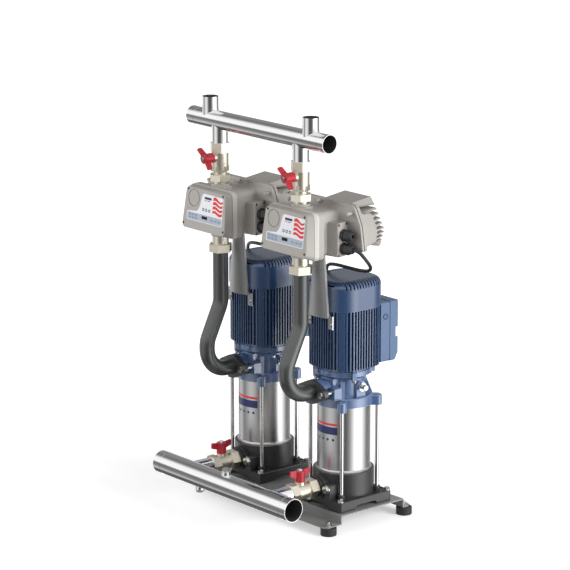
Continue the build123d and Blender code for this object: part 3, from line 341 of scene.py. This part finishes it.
lit = tree.nodes.new("ShaderNodeBackground")
soft = ramp(tree, height, [(0.0, 0.8), (0.5, 0.8), (0.66, 0.5), (1.0, 0.3)])
tree.links.new(soft, lit.inputs["Color"])
white = tree.nodes.new("ShaderNodeBackground")
white.inputs["Color"].default_value = (1, 1, 1, 1)
gloss = tree.nodes.new("ShaderNodeMixShader")
tree.links.new(paths.outputs["Is Glossy Ray"], gloss.inputs[0])
tree.links.new(lit.outputs[0], gloss.inputs[1])
tree.links.new(mirrored.outputs[0], gloss.inputs[2])
seen = tree.nodes.new("ShaderNodeMixShader")
clear = math_node(tree, "MAXIMUM", paths.outputs["Is Camera Ray"],
                  paths.outputs["Is Transmission Ray"])
tree.links.new(clear, seen.inputs[0])
tree.links.new(gloss.outputs[0], seen.inputs[1])
tree.links.new(white.outputs[0], seen.inputs[2])
tree.links.new(seen.outputs[0], tree.nodes.new("ShaderNodeOutputWorld").inputs["Surface"])


def lamp(name, place, aim, size, power):
    """A square soft lamp that looks at a point."""
    light = bpy.data.lights.new(name, "AREA")
    light.size = size
    light.energy = power
    made = bpy.data.objects.new(name, light)
    scene.collection.objects.link(made)
    made.location = place
    made.rotation_euler = (Vector(aim) - Vector(place)).to_track_quat("-Z", "Y").to_euler()
    made.visible_glossy = False


SET_MIDDLE = (0, 0, 0.6)
LAMP_SIZE = 1.8
lamp("key_lamp", (2.9, 0.9, 1.25), SET_MIDDLE, LAMP_SIZE, 88.0)
lamp("fill_lamp", (-1.4, -2.8, 1.5), SET_MIDDLE, LAMP_SIZE, 52.0)


# Base frame: one steel sheet folded to a channel with a foot flange at each
# side, and painted dark grey.
frame_paint = painted("frame_paint", colour(150, 151, 150), colour(140, 141, 140),
                      edge_tone=colour(172, 172, 171), roughness=0.36, spread=0.12)
coat(frame_paint, "base_frame")

# Feet: four moulded rubber pads under the frame's flanges. Each hangs on a
# threaded stud, which a washer and a nut hold from above.
foot_rubber = painted("foot_rubber", colour(48, 48, 49), colour(40, 40, 41), roughness=0.62)
coat(foot_rubber, "rubber_feet")


# Fasteners and plugs: zinc plated steel. Like all bare metal of the set, they
# have fine drawn or brushed lines that break up the gloss.
brushing, entry, leave = node_group(
    "brushing",
    [("Roughness", "Float", 0.2), ("Roughness Spread", "Float", 0.1), ("Around", "Float", 40.0),
     ("Upward", "Float", 900.0)],
    [("Roughness", "Float"), ("Height", "Float"), ("Tone", "Float")])
join = brushing.nodes.new("ShaderNodeCombineXYZ")
brushing.links.new(entry.outputs["Around"], join.inputs["X"])
brushing.links.new(entry.outputs["Around"], join.inputs["Y"])
brushing.links.new(entry.outputs["Upward"], join.inputs["Z"])
stretch = brushing.nodes.new("ShaderNodeVectorMath")
stretch.operation = "MULTIPLY"
brushing.links.new(brushing.nodes.new("ShaderNodeTexCoord").outputs["Object"], stretch.inputs[0])
brushing.links.new(join.outputs[0], stretch.inputs[1])
strokes = brushing.nodes.new("ShaderNodeTexNoise")
strokes.inputs["Scale"].default_value = 1.0
strokes.inputs["Detail"].default_value = 3.0
brushing.links.new(stretch.outputs[0], strokes.inputs["Vector"])
swing = math_node(brushing, "SUBTRACT", strokes.outputs["Fac"], 0.5)
brushing.links.new(math_node(brushing, "MULTIPLY_ADD", swing, entry.outputs["Roughness Spread"],
                             entry.outputs["Roughness"]), leave.inputs["Roughness"])
brushing.links.new(strokes.outputs["Fac"], leave.inputs["Height"])
brushing.links.new(strokes.outputs["Fac"], leave.inputs["Tone"])


def metal(name, tone, second_tone, roughness, spread, around, upward, strength=0.1, depth=0.00002,
          **plain):
    """Bare or plated metal with drawn lines."""
    material = bpy.data.materials.new(name)
    material.use_nodes = True
    tree = material.node_tree
    shader = tree.nodes["Principled BSDF"]
    shader.inputs["Metallic"].default_value = 1.0
    for label, value in plain.items():
        shader.inputs[label.replace("_", " ")].default_value = value
    lines = placed(tree, brushing, roughness=roughness, roughness_spread=spread, around=around,
                   upward=upward)
    tree.links.new(mixed(tree, lines.outputs["Tone"], tone, second_tone), shader.inputs["Base Color"])
    tree.links.new(lines.outputs["Roughness"], shader.inputs["Roughness"])
    bump(tree, lines.outputs["Height"], strength, depth)
    return material


zinc_steel = metal("zinc_steel", colour(222, 222, 220), colour(196, 197, 196), 0.24, 0.12,
                   300.0, 300.0)
coat(zinc_steel, "foot_studs", "anchor_bolts", "flange_bolts", "bracket_clips", "manifold_plugs",
     "pump_plugs")

# Manifolds: polished stainless tubes, 60 mm for suction in front and 48 mm
# for discharge on top, with short stubs welded in.
def object_place(tree):
    """The shaded point's own x, y and z on its object."""
    split = tree.nodes.new("ShaderNodeSeparateXYZ")
    tree.links.new(tree.nodes.new("ShaderNodeTexCoord").outputs["Object"], split.inputs[0])
    return split.outputs


def off(tree, value, place):
    """How far a value is from a place, at either side of it."""
    return math_node(tree, "ABSOLUTE", math_node(tree, "SUBTRACT", value, place))


def distance(tree, first, second):
    """The straight distance that two steps at right angles make."""
    squares = [math_node(tree, "POWER", step, 2.0) for step in (first, second)]
    return math_node(tree, "SQRT", math_node(tree, "ADD", *squares))


# Bores group: masks the inside of a tube and of its upper stubs, for painted shade there.
bores, entry, leave = node_group(
    "bores",
    [("Depth", "Float", 0.0), ("Height", "Float", 0.0), ("Radius", "Float", 0.03),
     ("Stub Place", "Float", 0.2), ("Stub Radius", "Float", 0.02)],
    [("Mask", "Float")])
along_tube, depth, rise = object_place(bores)
off_depth = off(bores, depth, entry.outputs["Depth"])
off_height = off(bores, rise, entry.outputs["Height"])
off_stub = off(bores, math_node(bores, "ABSOLUTE", along_tube), entry.outputs["Stub Place"])
in_tube = math_node(bores, "LESS_THAN", distance(bores, off_depth, off_height),
                    entry.outputs["Radius"])
in_stub = math_node(bores, "LESS_THAN", distance(bores, off_depth, off_stub),
                    entry.outputs["Stub Radius"])
tube_top = math_node(bores, "ADD", entry.outputs["Height"], entry.outputs["Radius"])
in_upper_stub = math_node(bores, "MULTIPLY", in_stub,
                          math_node(bores, "GREATER_THAN", rise, tube_top))
bores.links.new(math_node(bores, "MAXIMUM", in_tube, in_upper_stub), leave.inputs["Mask"])


def tube_metal(name, **places):
    """Polished stainless tube, with painted shade inside its bore: a dull dark grey."""
    material = metal(name, colour(232, 232, 232), colour(222, 222, 223), 0.12, 0.05, 30.0, 600.0,
                     strength=0.02)
    tree = material.node_tree
    shader = tree.nodes["Principled BSDF"]
    inside = placed(tree, bores, **places).outputs["Mask"]
    polish = shader.inputs["Base Color"].links[0].from_socket
    # Painted shade in the bore: dark grey, not metallic, and rougher.
    tree.links.new(mixed(tree, inside, polish, colour(66, 66, 66)), shader.inputs["Base Color"])
    tree.links.new(math_node(tree, "SUBTRACT", 1.0, inside), shader.inputs["Metallic"])
    roughness = shader.inputs["Roughness"].links[0].from_socket
    tree.links.new(math_node(tree, "MULTIPLY_ADD", inside, 0.4, roughness),
                   shader.inputs["Roughness"])
    return material


# A radius here ends in the middle of the tube's wall, between its two surfaces.
SUCTION_Y, SUCTION_Z, SUCTION_WALL = -0.264, 0.098, 0.0292
DISCHARGE_Y, DISCHARGE_Z, DISCHARGE_WALL = -0.148, 1.02, 0.0232
STUB_X, STUB_WALL = 0.198, 0.0202
PAST_THE_ENDS = 1.0
coat(tube_metal("suction_tube", depth=SUCTION_Y, height=SUCTION_Z, radius=SUCTION_WALL,
                stub_place=PAST_THE_ENDS, stub_radius=0.02), "suction_manifold")
coat(tube_metal("discharge_tube", depth=DISCHARGE_Y, height=DISCHARGE_Z, radius=DISCHARGE_WALL,
                stub_place=STUB_X, stub_radius=STUB_WALL), "discharge_manifold")

# Valves and unions: turned and forged brass with a warm nickel plating. The
# valves screw onto the manifolds' stubs. Unions join each controller to the riser
# below it and to the valve above it.
nickel_plate = metal("nickel_plate", colour(228, 222, 206), colour(214, 207, 190), 0.34, 0.1,
                     120.0, 120.0)
coat(nickel_plate, "suction_valve_bodies", "discharge_valve_bodies", "union_nuts", "union_tails")

# Valve handles: red moulded butterfly handles, each pushed over a valve's stem.
# The stem turns a chrome plated ball inside the valve.
handle_red = painted("handle_red", colour(186, 34, 52), colour(168, 26, 43),
                     edge_tone=colour(222, 96, 108), roughness=0.33, grain=1400.0)
coat(handle_red, *both("suction_handle", "discharge_handle"))
ball_chrome = metal("ball_chrome", colour(225, 225, 226), colour(214, 214, 216), 0.08, 0.04,
                    60.0, 60.0)
coat(ball_chrome, *both("suction_ball", "discharge_ball"))

# Pump base: cast iron in black paint, with the suction port in front. Four
# bolts through its square plate hold it to the frame.
base_iron = painted("base_iron", colour(54, 54, 55), colour(46, 46, 47),
                    edge_tone=colour(92, 92, 93), roughness=0.34, spread=0.14, grain=700.0,
                    depth=0.00012)
coat(base_iron, *both("pump_base"))

# Pump sleeve: a brushed stainless tube around the pump's stages. Four steel tie
# rods clamp it between the pump base and the pump head.
sleeve_steel = metal("sleeve_steel", colour(190, 190, 191), colour(182, 182, 183), 0.3, 0.04,
                     14.0, 900.0, strength=0.02)
coat(sleeve_steel, "pump_sleeves")
rod_steel = metal("rod_steel", colour(214, 212, 210), colour(198, 196, 194), 0.2, 0.08, 200.0, 30.0)
coat(rod_steel, "tie_rods")

# Pump head: cast iron in glossy blue paint, with four lugs for the rods and two
# ears for the bolts of the riser's flange.
head_blue = painted("head_blue", colour(82, 108, 150), colour(74, 100, 142),
                    edge_tone=colour(160, 176, 200), roughness=0.22, spread=0.1, grain=600.0,
                    depth=0.00006, Specular_IOR_Level=1.0, Coat_Weight=0.7,
                    Coat_Roughness=0.12)
coat(head_blue, *both("pump_head"))

# Motor: an aluminium housing with cooling fins, bolted on the pump head, and a
# fan cover over its top. Both are painted dark blue.
motor_blue = painted("motor_blue", colour(40, 68, 106), colour(36, 62, 98),
                     edge_tone=colour(112, 134, 166), roughness=0.27, spread=0.08, grain=900.0,
                     Specular_IOR_Level=1.0)
coat(motor_blue, "fan_covers", *both("motor_housing"))

# Terminal boxes: cast boxes at the back of the motors in a lighter blue, with a
# shaded seam under the lid and a shaded groove around the blanked cable entry.
box_lines, entry, leave = node_group(
    "box_lines",
    [("Seam", "Float", 0.111), ("Entry Height", "Float", 0.53), ("Entry Depth", "Float", 0.0955),
     ("Groove", "Float", 0.0067), ("Line", "Float", 0.0008)],
    [("Mask", "Float")])
width, depth, rise = object_place(box_lines)
half_line = entry.outputs["Line"]
on_seam = math_node(box_lines, "LESS_THAN", off(box_lines, depth, entry.outputs["Seam"]), half_line)
from_entry = distance(box_lines, off(box_lines, depth, entry.outputs["Entry Depth"]),
                      off(box_lines, rise, entry.outputs["Entry Height"]))
half_groove = math_node(box_lines, "MULTIPLY", half_line, 1.8)
on_groove = math_node(box_lines, "LESS_THAN", off(box_lines, from_entry, entry.outputs["Groove"]),
                      half_groove)
box_lines.links.new(math_node(box_lines, "MAXIMUM", on_seam, on_groove), leave.inputs["Mask"])
box_blue = painted("box_blue", colour(88, 110, 142), colour(80, 103, 135),
                   edge_tone=colour(140, 158, 184), roughness=0.4, spread=0.1, grain=1100.0)
tree = box_blue.node_tree
base = tree.nodes["Principled BSDF"].inputs["Base Color"]
lines = placed(tree, box_lines).outputs["Mask"]
tree.links.new(mixed(tree, lines, base.links[0].from_socket, colour(34, 50, 80)), base)
coat(box_blue, "terminal_boxes", "terminal_lids")

# Risers: black painted steel pipes, bent from each pump's outlet up to its
# controller and bolted on by an oval flange.
riser_black = painted("riser_black", colour(62, 63, 63), colour(55, 56, 56), roughness=0.3,
                      spread=0.06, Specular_IOR_Level=0.9)
coat(riser_black, "riser_pipes", "riser_flanges")

# Controllers: cast aluminium in grey paint around the water way, with a finned
# heatsink behind and two black plastic cable glands at the side.
def casting_grey(name):
    """The grey paint of a controller's castings."""
    return painted(name, colour(174, 170, 165), colour(169, 165, 160),
                   edge_tone=colour(200, 197, 193), roughness=0.46, spread=0.08, grain=1500.0,
                   Specular_IOR_Level=0.3)


coat(casting_grey("controller_grey"), "wiring_covers", *both("flow_body"))

# Front covers: the same grey, with painted shade as a dark line along a crease and a
# painted highlight as a paler lip along the back edge, and painted shade as a dark
# line around the round recess at the upper left.
RECESS_X, RECESS_Z = -0.046, 0.8158
COVER_FRONT = -0.19
cover_lines, entry, leave = node_group(
    "cover_lines",
    [("Crease", "Float", -0.179), ("Recess Place", "Float", 0.0), ("Recess Height", "Float", 0.0),
     ("Recess Radius", "Float", 0.022), ("Line", "Float", 0.0006)],
    [("Lip Highlight", "Float"), ("Line", "Float")])
width, depth, rise = object_place(cover_lines)
crease, half_line = entry.outputs["Crease"], entry.outputs["Line"]
# The lip mask takes a painted highlight; the line mask takes painted shade in the crease and round
# the recess.
cover_lines.links.new(math_node(cover_lines, "GREATER_THAN", depth, crease), leave.inputs["Lip Highlight"])
on_crease = math_node(cover_lines, "LESS_THAN", off(cover_lines, depth, crease), half_line)
from_middle = distance(cover_lines, off(cover_lines, width, entry.outputs["Recess Place"]),
                       off(cover_lines, rise, entry.outputs["Recess Height"]))
on_rim = math_node(cover_lines, "LESS_THAN",
                   off(cover_lines, from_middle, entry.outputs["Recess Radius"]), half_line)
in_front = math_node(cover_lines, "LESS_THAN", depth, COVER_FRONT)
on_front_rim = math_node(cover_lines, "MULTIPLY", in_front, on_rim)
cover_lines.links.new(math_node(cover_lines, "MAXIMUM", on_crease, on_front_rim),
                      leave.inputs["Line"])
for side, unit_x in SIDES.items():
    cover_grey = casting_grey(f"{side}_cover_grey")
    tree = cover_grey.node_tree
    lines = placed(tree, cover_lines, recess_place=unit_x + RECESS_X, recess_height=RECESS_Z)
    base = tree.nodes["Principled BSDF"].inputs["Base Color"]
    # Painted highlight on the lip, then painted shade on the crease and the recess's rim.
    shade = mixed(tree, lines.outputs["Lip Highlight"], base.links[0].from_socket, colour(204, 200, 195))
    tree.links.new(mixed(tree, lines.outputs["Line"], shade, colour(112, 108, 104)), base)
    coat(cover_grey, f"{side}_controller_cover")
heatsink_grey = painted("heatsink_grey", colour(172, 168, 163), colour(166, 162, 157),
                        edge_tone=colour(200, 197, 193), roughness=0.46, spread=0.08, grain=1500.0,
                        Specular_IOR_Level=0.3)
coat(heatsink_grey, "heatsinks")
gland_plastic = painted("gland_plastic", colour(50, 51, 54), colour(42, 43, 46), roughness=0.46,
                        grain=1600.0)
coat(gland_plastic, "cable_glands")

# Brackets: folded steel sheet in grey paint. Two screwed clips hold each one at
# its motor's fins, and it leads up to the underside of the controller.
bracket_grey = painted("bracket_grey", colour(150, 151, 150), colour(142, 143, 142),
                       edge_tone=colour(196, 197, 196), roughness=0.36, spread=0.1)
coat(bracket_grey, "motor_brackets")


# Control panels: a thin membrane on each leaning front face, with a key strip,
# a small display and a plain design of stripes and dots in red and navy.
def between_points(*points):
    """A height over x that follows straight lines through these points."""
    def height_at(x):
        for (x0, y0), (x1, y1) in zip(points, points[1:]):
            if x <= x1:
                return y0 + (y1 - y0) * (x - x0) / (x1 - x0)
        return points[-1][1]
    return height_at


def printed(name, place, pieces, steps=40):
    """A mesh of thin raised strips. Each piece is (material, start, end, lower, upper, foot,
    face): its sides are heights over x, and foot and face are its depths on the surface."""
    made = bmesh.new()
    materials = []
    for material, start, end, lower, upper, foot, face in pieces:
        if material not in materials:
            materials.append(material)
        columns = []
        for step in range(steps + 1):
            x = start + (end - start) * step / steps
            columns.append([made.verts.new(place(x, y, depth)) for y, depth in
                            ((lower(x), foot), (upper(x), foot), (upper(x), face), (lower(x), face))])
        faces = [made.faces.new(columns[0]), made.faces.new(columns[-1][::-1])]
        for here, there in zip(columns, columns[1:]):
            for side in range(4):
                after = (side + 1) % 4
                faces.append(made.faces.new((here[after], here[side], there[side], there[after])))
        for one in faces:
            one.material_index = materials.index(material)
    bmesh.ops.recalc_face_normals(made, faces=made.faces)
    mesh = bpy.data.meshes.new(name)
    made.to_mesh(mesh)
    made.free()
    for material in materials:
        mesh.materials.append(material)
    thing = bpy.data.objects.new(name, mesh)
    scene.collection.objects.link(thing)
    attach(thing, "root")
    return thing


def level(value):
    """A straight edge at one height."""
    return lambda x: value


FACE_Y, FACE_Z, FACE_TILT = -0.201, 0.788, math.radians(6.5)
face_up = Vector((0, math.sin(FACE_TILT), math.cos(FACE_TILT)))
face_out = Vector((0, -math.cos(FACE_TILT), math.sin(FACE_TILT)))
membrane_white = painted("membrane_white", colour(236, 237, 240), colour(230, 231, 235),
                         roughness=0.35)
strip_blue = painted("strip_blue", colour(174, 184, 197), colour(168, 178, 191), roughness=0.4)
key_blue = painted("key_blue", colour(142, 154, 172), colour(136, 148, 166), roughness=0.4)
print_red = painted("print_red", colour(222, 62, 62), colour(214, 56, 56), roughness=0.36)
print_navy = painted("print_navy", colour(36, 44, 96), colour(32, 40, 90), roughness=0.36)
display_dark = painted("display_dark", colour(26, 28, 32), colour(22, 24, 28), roughness=0.2)


def wave(middle, swell):
    """A height that rises and falls once over the width of the panel's design."""
    return lambda x: middle + swell * math.sin((x - 30) / 44 * math.tau)


def dot(x, y, radius):
    """The ends and sides of a round spot."""
    def half(at):
        return math.sqrt(max(radius ** 2 - (at - x) ** 2, 0.0004))
    return x - radius, x + radius, lambda at: y - half(at), lambda at: y + half(at)


panel_pieces = [
    (membrane_white, -69, 74, between_points((-69, -29), (-66, -31), (70, -31), (74, -28)),
     between_points((-69, -10), (-66, -8.5), (-30, -5), (-24, 1.5), (-18, 13), (-15, 28), (-12, 40),
                    (-6, 45), (70, 43.5), (74, 40)), -0.3, 0.3),
    (strip_blue, -67, 72, between_points((-67, -27), (-64, -29.5), (69, -29.5), (72, -27)),
     level(-10.5), 0.2, 0.4),
    (display_dark, -8, 14, level(-22), level(-14), 0.3, 0.5),
    (print_navy, -2, 26, level(31), level(37), 0.2, 0.4),
    (print_red, -2, 8, level(26.5), level(28.5), 0.2, 0.4),
    (print_navy, 10, 20, level(26.5), level(28.5), 0.2, 0.4)]
STRIPE_STEP = 11
panel_pieces += [(print_red, 33, 72.5, wave(STRIPE_STEP * line - 3, 3),
                  wave(STRIPE_STEP * line + 4, 3 + line * 0.6), 0.2, 0.4) for line in range(4)]
panel_pieces += [(print_navy, *dot(x, 3, 4.2), 0.2, 0.45) for x in (-4, 8, 20)]
panel_pieces += [(membrane_white, *dot(x, 3, 2.0), 0.3, 0.55) for x in (-4, 8, 20)]
panel_pieces += [(key_blue, x, x + 10, level(y), level(y + 6), 0.3, 0.5)
                 for x, y in ((-62, -19), (-49, -19), (-36, -19), (-62, -27), (-49, -27), (-36, -27),
                              (28, -23), (44, -23), (58, -23))]
for side, unit_x in SIDES.items():
    def on_panel(x, y, depth):
        """A point of the panel from millimetres across, up and out of the face."""
        middle = Vector((unit_x + x / 1000, FACE_Y, FACE_Z))
        return middle + face_up * (y / 1000) + face_out * (depth / 1000)

    panel = printed(f"{side}_control_panel", on_panel, panel_pieces)

# Sleeve prints: a navy band under a red one and a row of dots on the front of
# each pump sleeve, printed in thick ink.
SLEEVE_RADIUS = 0.069
band_pieces = [(print_red, -46, 42, level(262), level(268), -0.2, 0.12),
               (print_navy, -46, 42, level(238), level(258), -0.2, 0.12)]
band_pieces += [(print_navy, *dot(x, 224, 3.5), -0.2, 0.12) for x in range(-34, 42, 16)]
for side, unit_x in SIDES.items():
    def on_sleeve(x, y, depth):
        """A point on the sleeve from millimetres around from its front, up and outwards."""
        around = x / 1000 / SLEEVE_RADIUS
        radius = SLEEVE_RADIUS + depth / 1000
        return Vector((unit_x + math.sin(around) * radius, -math.cos(around) * radius, y / 1000))

    bands = printed(f"{side}_sleeve_print", on_sleeve, band_pieces)

# Cover screws: black socket screws that hold each controller's front cover and
# the cover of its terminal chamber, all one head set out by Geometry Nodes.
screw_black = painted("screw_black", colour(30, 30, 31), colour(24, 24, 25), roughness=0.4)
SCREW_SIDES = 24


def screw_head(radius, height):
    """A round head along +Z with a hexagon socket in its top."""
    made = bmesh.new()
    socket = radius * 0.5
    rings = [(radius, -0.0006, False), (radius, height * 0.75, False), (radius * 0.85, height, False),
             (socket, height, True), (socket, height * 0.2, True)]
    loops = []
    for size, z, hexagon in rings:
        loop = []
        for step in range(SCREW_SIDES):
            angle = math.tau * step / SCREW_SIDES
            off = (angle + math.pi / 6) % (math.pi / 3) - math.pi / 6
            reach = size / math.cos(off) if hexagon else size
            loop.append(made.verts.new((reach * math.cos(angle), reach * math.sin(angle), z)))
        loops.append(loop)
    for here, there in zip(loops, loops[1:]):
        for step in range(SCREW_SIDES):
            after = (step + 1) % SCREW_SIDES
            made.faces.new((here[step], here[after], there[after], there[step]))
    made.faces.new(loops[0][::-1])
    made.faces.new(loops[-1])
    bmesh.ops.recalc_face_normals(made, faces=made.faces)
    mesh = bpy.data.meshes.new("screw_head")
    made.to_mesh(mesh)
    made.free()
    return bpy.data.objects.new("screw_head", mesh)


def set_out(name, head, places, material):
    """Copies of a head, one at each point and turned to its direction, as one mesh."""
    mesh = bpy.data.meshes.new(name)
    mesh.from_pydata([point for point, aim in places], [], [])
    directions = mesh.attributes.new("aim", "FLOAT_VECTOR", "POINT")
    for item, (point, aim) in zip(directions.data, places):
        item.vector = aim
    pattern = bpy.data.objects.new(f"{name}_points", mesh)
    scene.collection.objects.link(pattern)
    group = bpy.data.node_groups.new(name, "GeometryNodeTree")
    group.interface.new_socket("Geometry", in_out="INPUT", socket_type="NodeSocketGeometry")
    head_socket = group.interface.new_socket("Head", in_out="INPUT", socket_type="NodeSocketObject")
    coat_socket = group.interface.new_socket("Material", in_out="INPUT",
                                             socket_type="NodeSocketMaterial")
    group.interface.new_socket("Geometry", in_out="OUTPUT", socket_type="NodeSocketGeometry")
    entry, leave = group.nodes.new("NodeGroupInput"), group.nodes.new("NodeGroupOutput")
    source = group.nodes.new("GeometryNodeObjectInfo")
    aim = group.nodes.new("GeometryNodeInputNamedAttribute")
    aim.data_type = "FLOAT_VECTOR"
    aim.inputs["Name"].default_value = "aim"
    turned = group.nodes.new("FunctionNodeAlignRotationToVector")
    turned.axis = "Z"
    copies = group.nodes.new("GeometryNodeInstanceOnPoints")
    real = group.nodes.new("GeometryNodeRealizeInstances")
    skin = group.nodes.new("GeometryNodeSetMaterial")
    group.links.new(entry.outputs["Head"], source.inputs["Object"])
    group.links.new(entry.outputs["Geometry"], copies.inputs["Points"])
    group.links.new(source.outputs["Geometry"], copies.inputs["Instance"])
    group.links.new(aim.outputs["Attribute"], turned.inputs["Vector"])
    group.links.new(turned.outputs["Rotation"], copies.inputs["Rotation"])
    group.links.new(copies.outputs["Instances"], real.inputs["Geometry"])
    group.links.new(real.outputs["Geometry"], skin.inputs["Geometry"])
    group.links.new(entry.outputs["Material"], skin.inputs["Material"])
    group.links.new(skin.outputs["Geometry"], leave.inputs["Geometry"])
    modifier = pattern.modifiers.new("copies", "NODES")
    modifier.node_group = group
    modifier[head_socket.identifier] = head
    modifier[coat_socket.identifier] = material
    bpy.context.view_layer.update()
    finished = bpy.data.meshes.new_from_object(
        pattern.evaluated_get(bpy.context.evaluated_depsgraph_get()))
    bpy.data.objects.remove(pattern)
    thing = bpy.data.objects.new(name, finished)
    scene.collection.objects.link(thing)
    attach(thing, "root")
    return thing


SCREW_RADIUS, SCREW_HEIGHT = 0.0031, 0.0008
FACE_SCREWS = ((-0.0705, 0.0483), (0.0705, 0.0483), (-0.081, -0.0425), (0.081, -0.0425))
WIRING_SCREWS = ((-0.0155, 0.0385), (0.0155, 0.0385), (-0.0155, -0.0385), (0.0155, -0.0385))
WIRING_TURN = math.radians(12)
WIRING_COVER = 0.004
wiring_out = Vector((math.cos(WIRING_TURN), math.sin(WIRING_TURN), 0))
wiring_along = Vector((-math.sin(WIRING_TURN), math.cos(WIRING_TURN), 0))
wiring_middle = Vector((0.101738, -0.101948, 0.7725)) + wiring_out * WIRING_COVER
screw_places = []
for unit_x in SIDES.values():
    unit = Vector((unit_x, 0, 0))
    for x, y in FACE_SCREWS:
        screw_places.append((unit + Vector((x, FACE_Y, FACE_Z)) + face_up * y, face_out))
    for across, up in WIRING_SCREWS:
        screw_places.append((unit + wiring_middle + wiring_along * across + Vector((0, 0, up)),
                             wiring_out))
cover_screw = screw_head(SCREW_RADIUS, SCREW_HEIGHT)
cover_screws = set_out("cover_screws", cover_screw, screw_places, screw_black)
bpy.data.objects.remove(cover_screw)

# Inner pieces: pressed steel stages and impellers, carbon seals, steel shafts
# and bearings, copper windings, a plastic fan and a green control board.
stage_steel = metal("stage_steel", colour(190, 190, 190), colour(172, 172, 172), 0.3, 0.1, 60.0, 60.0)
coat(stage_steel, "stage_bowls", *both("impellers"))
seal_carbon = painted("seal_carbon", colour(40, 40, 42), colour(34, 34, 36), roughness=0.4)
coat(seal_carbon, "shaft_seals", *both("check_valve"))
bearing_steel = metal("bearing_steel", colour(200, 200, 202), colour(180, 180, 184), 0.18, 0.06,
                      200.0, 200.0)
coat(bearing_steel, "shaft_bearings", "bearing_shields", *both("pump_shaft", "motor_rotor"))
winding_copper = metal("winding_copper", colour(196, 118, 70), colour(170, 96, 54), 0.35, 0.1,
                       80.0, 600.0)
coat(winding_copper, "stators")
board_green = painted("board_green", colour(28, 92, 56), colour(24, 80, 48), roughness=0.4)
coat(board_green, "control_boards")
fan_plastic = painted("fan_plastic", colour(46, 46, 48), colour(38, 38, 40), roughness=0.5)
coat(fan_plastic, *both("cooling_fan"))
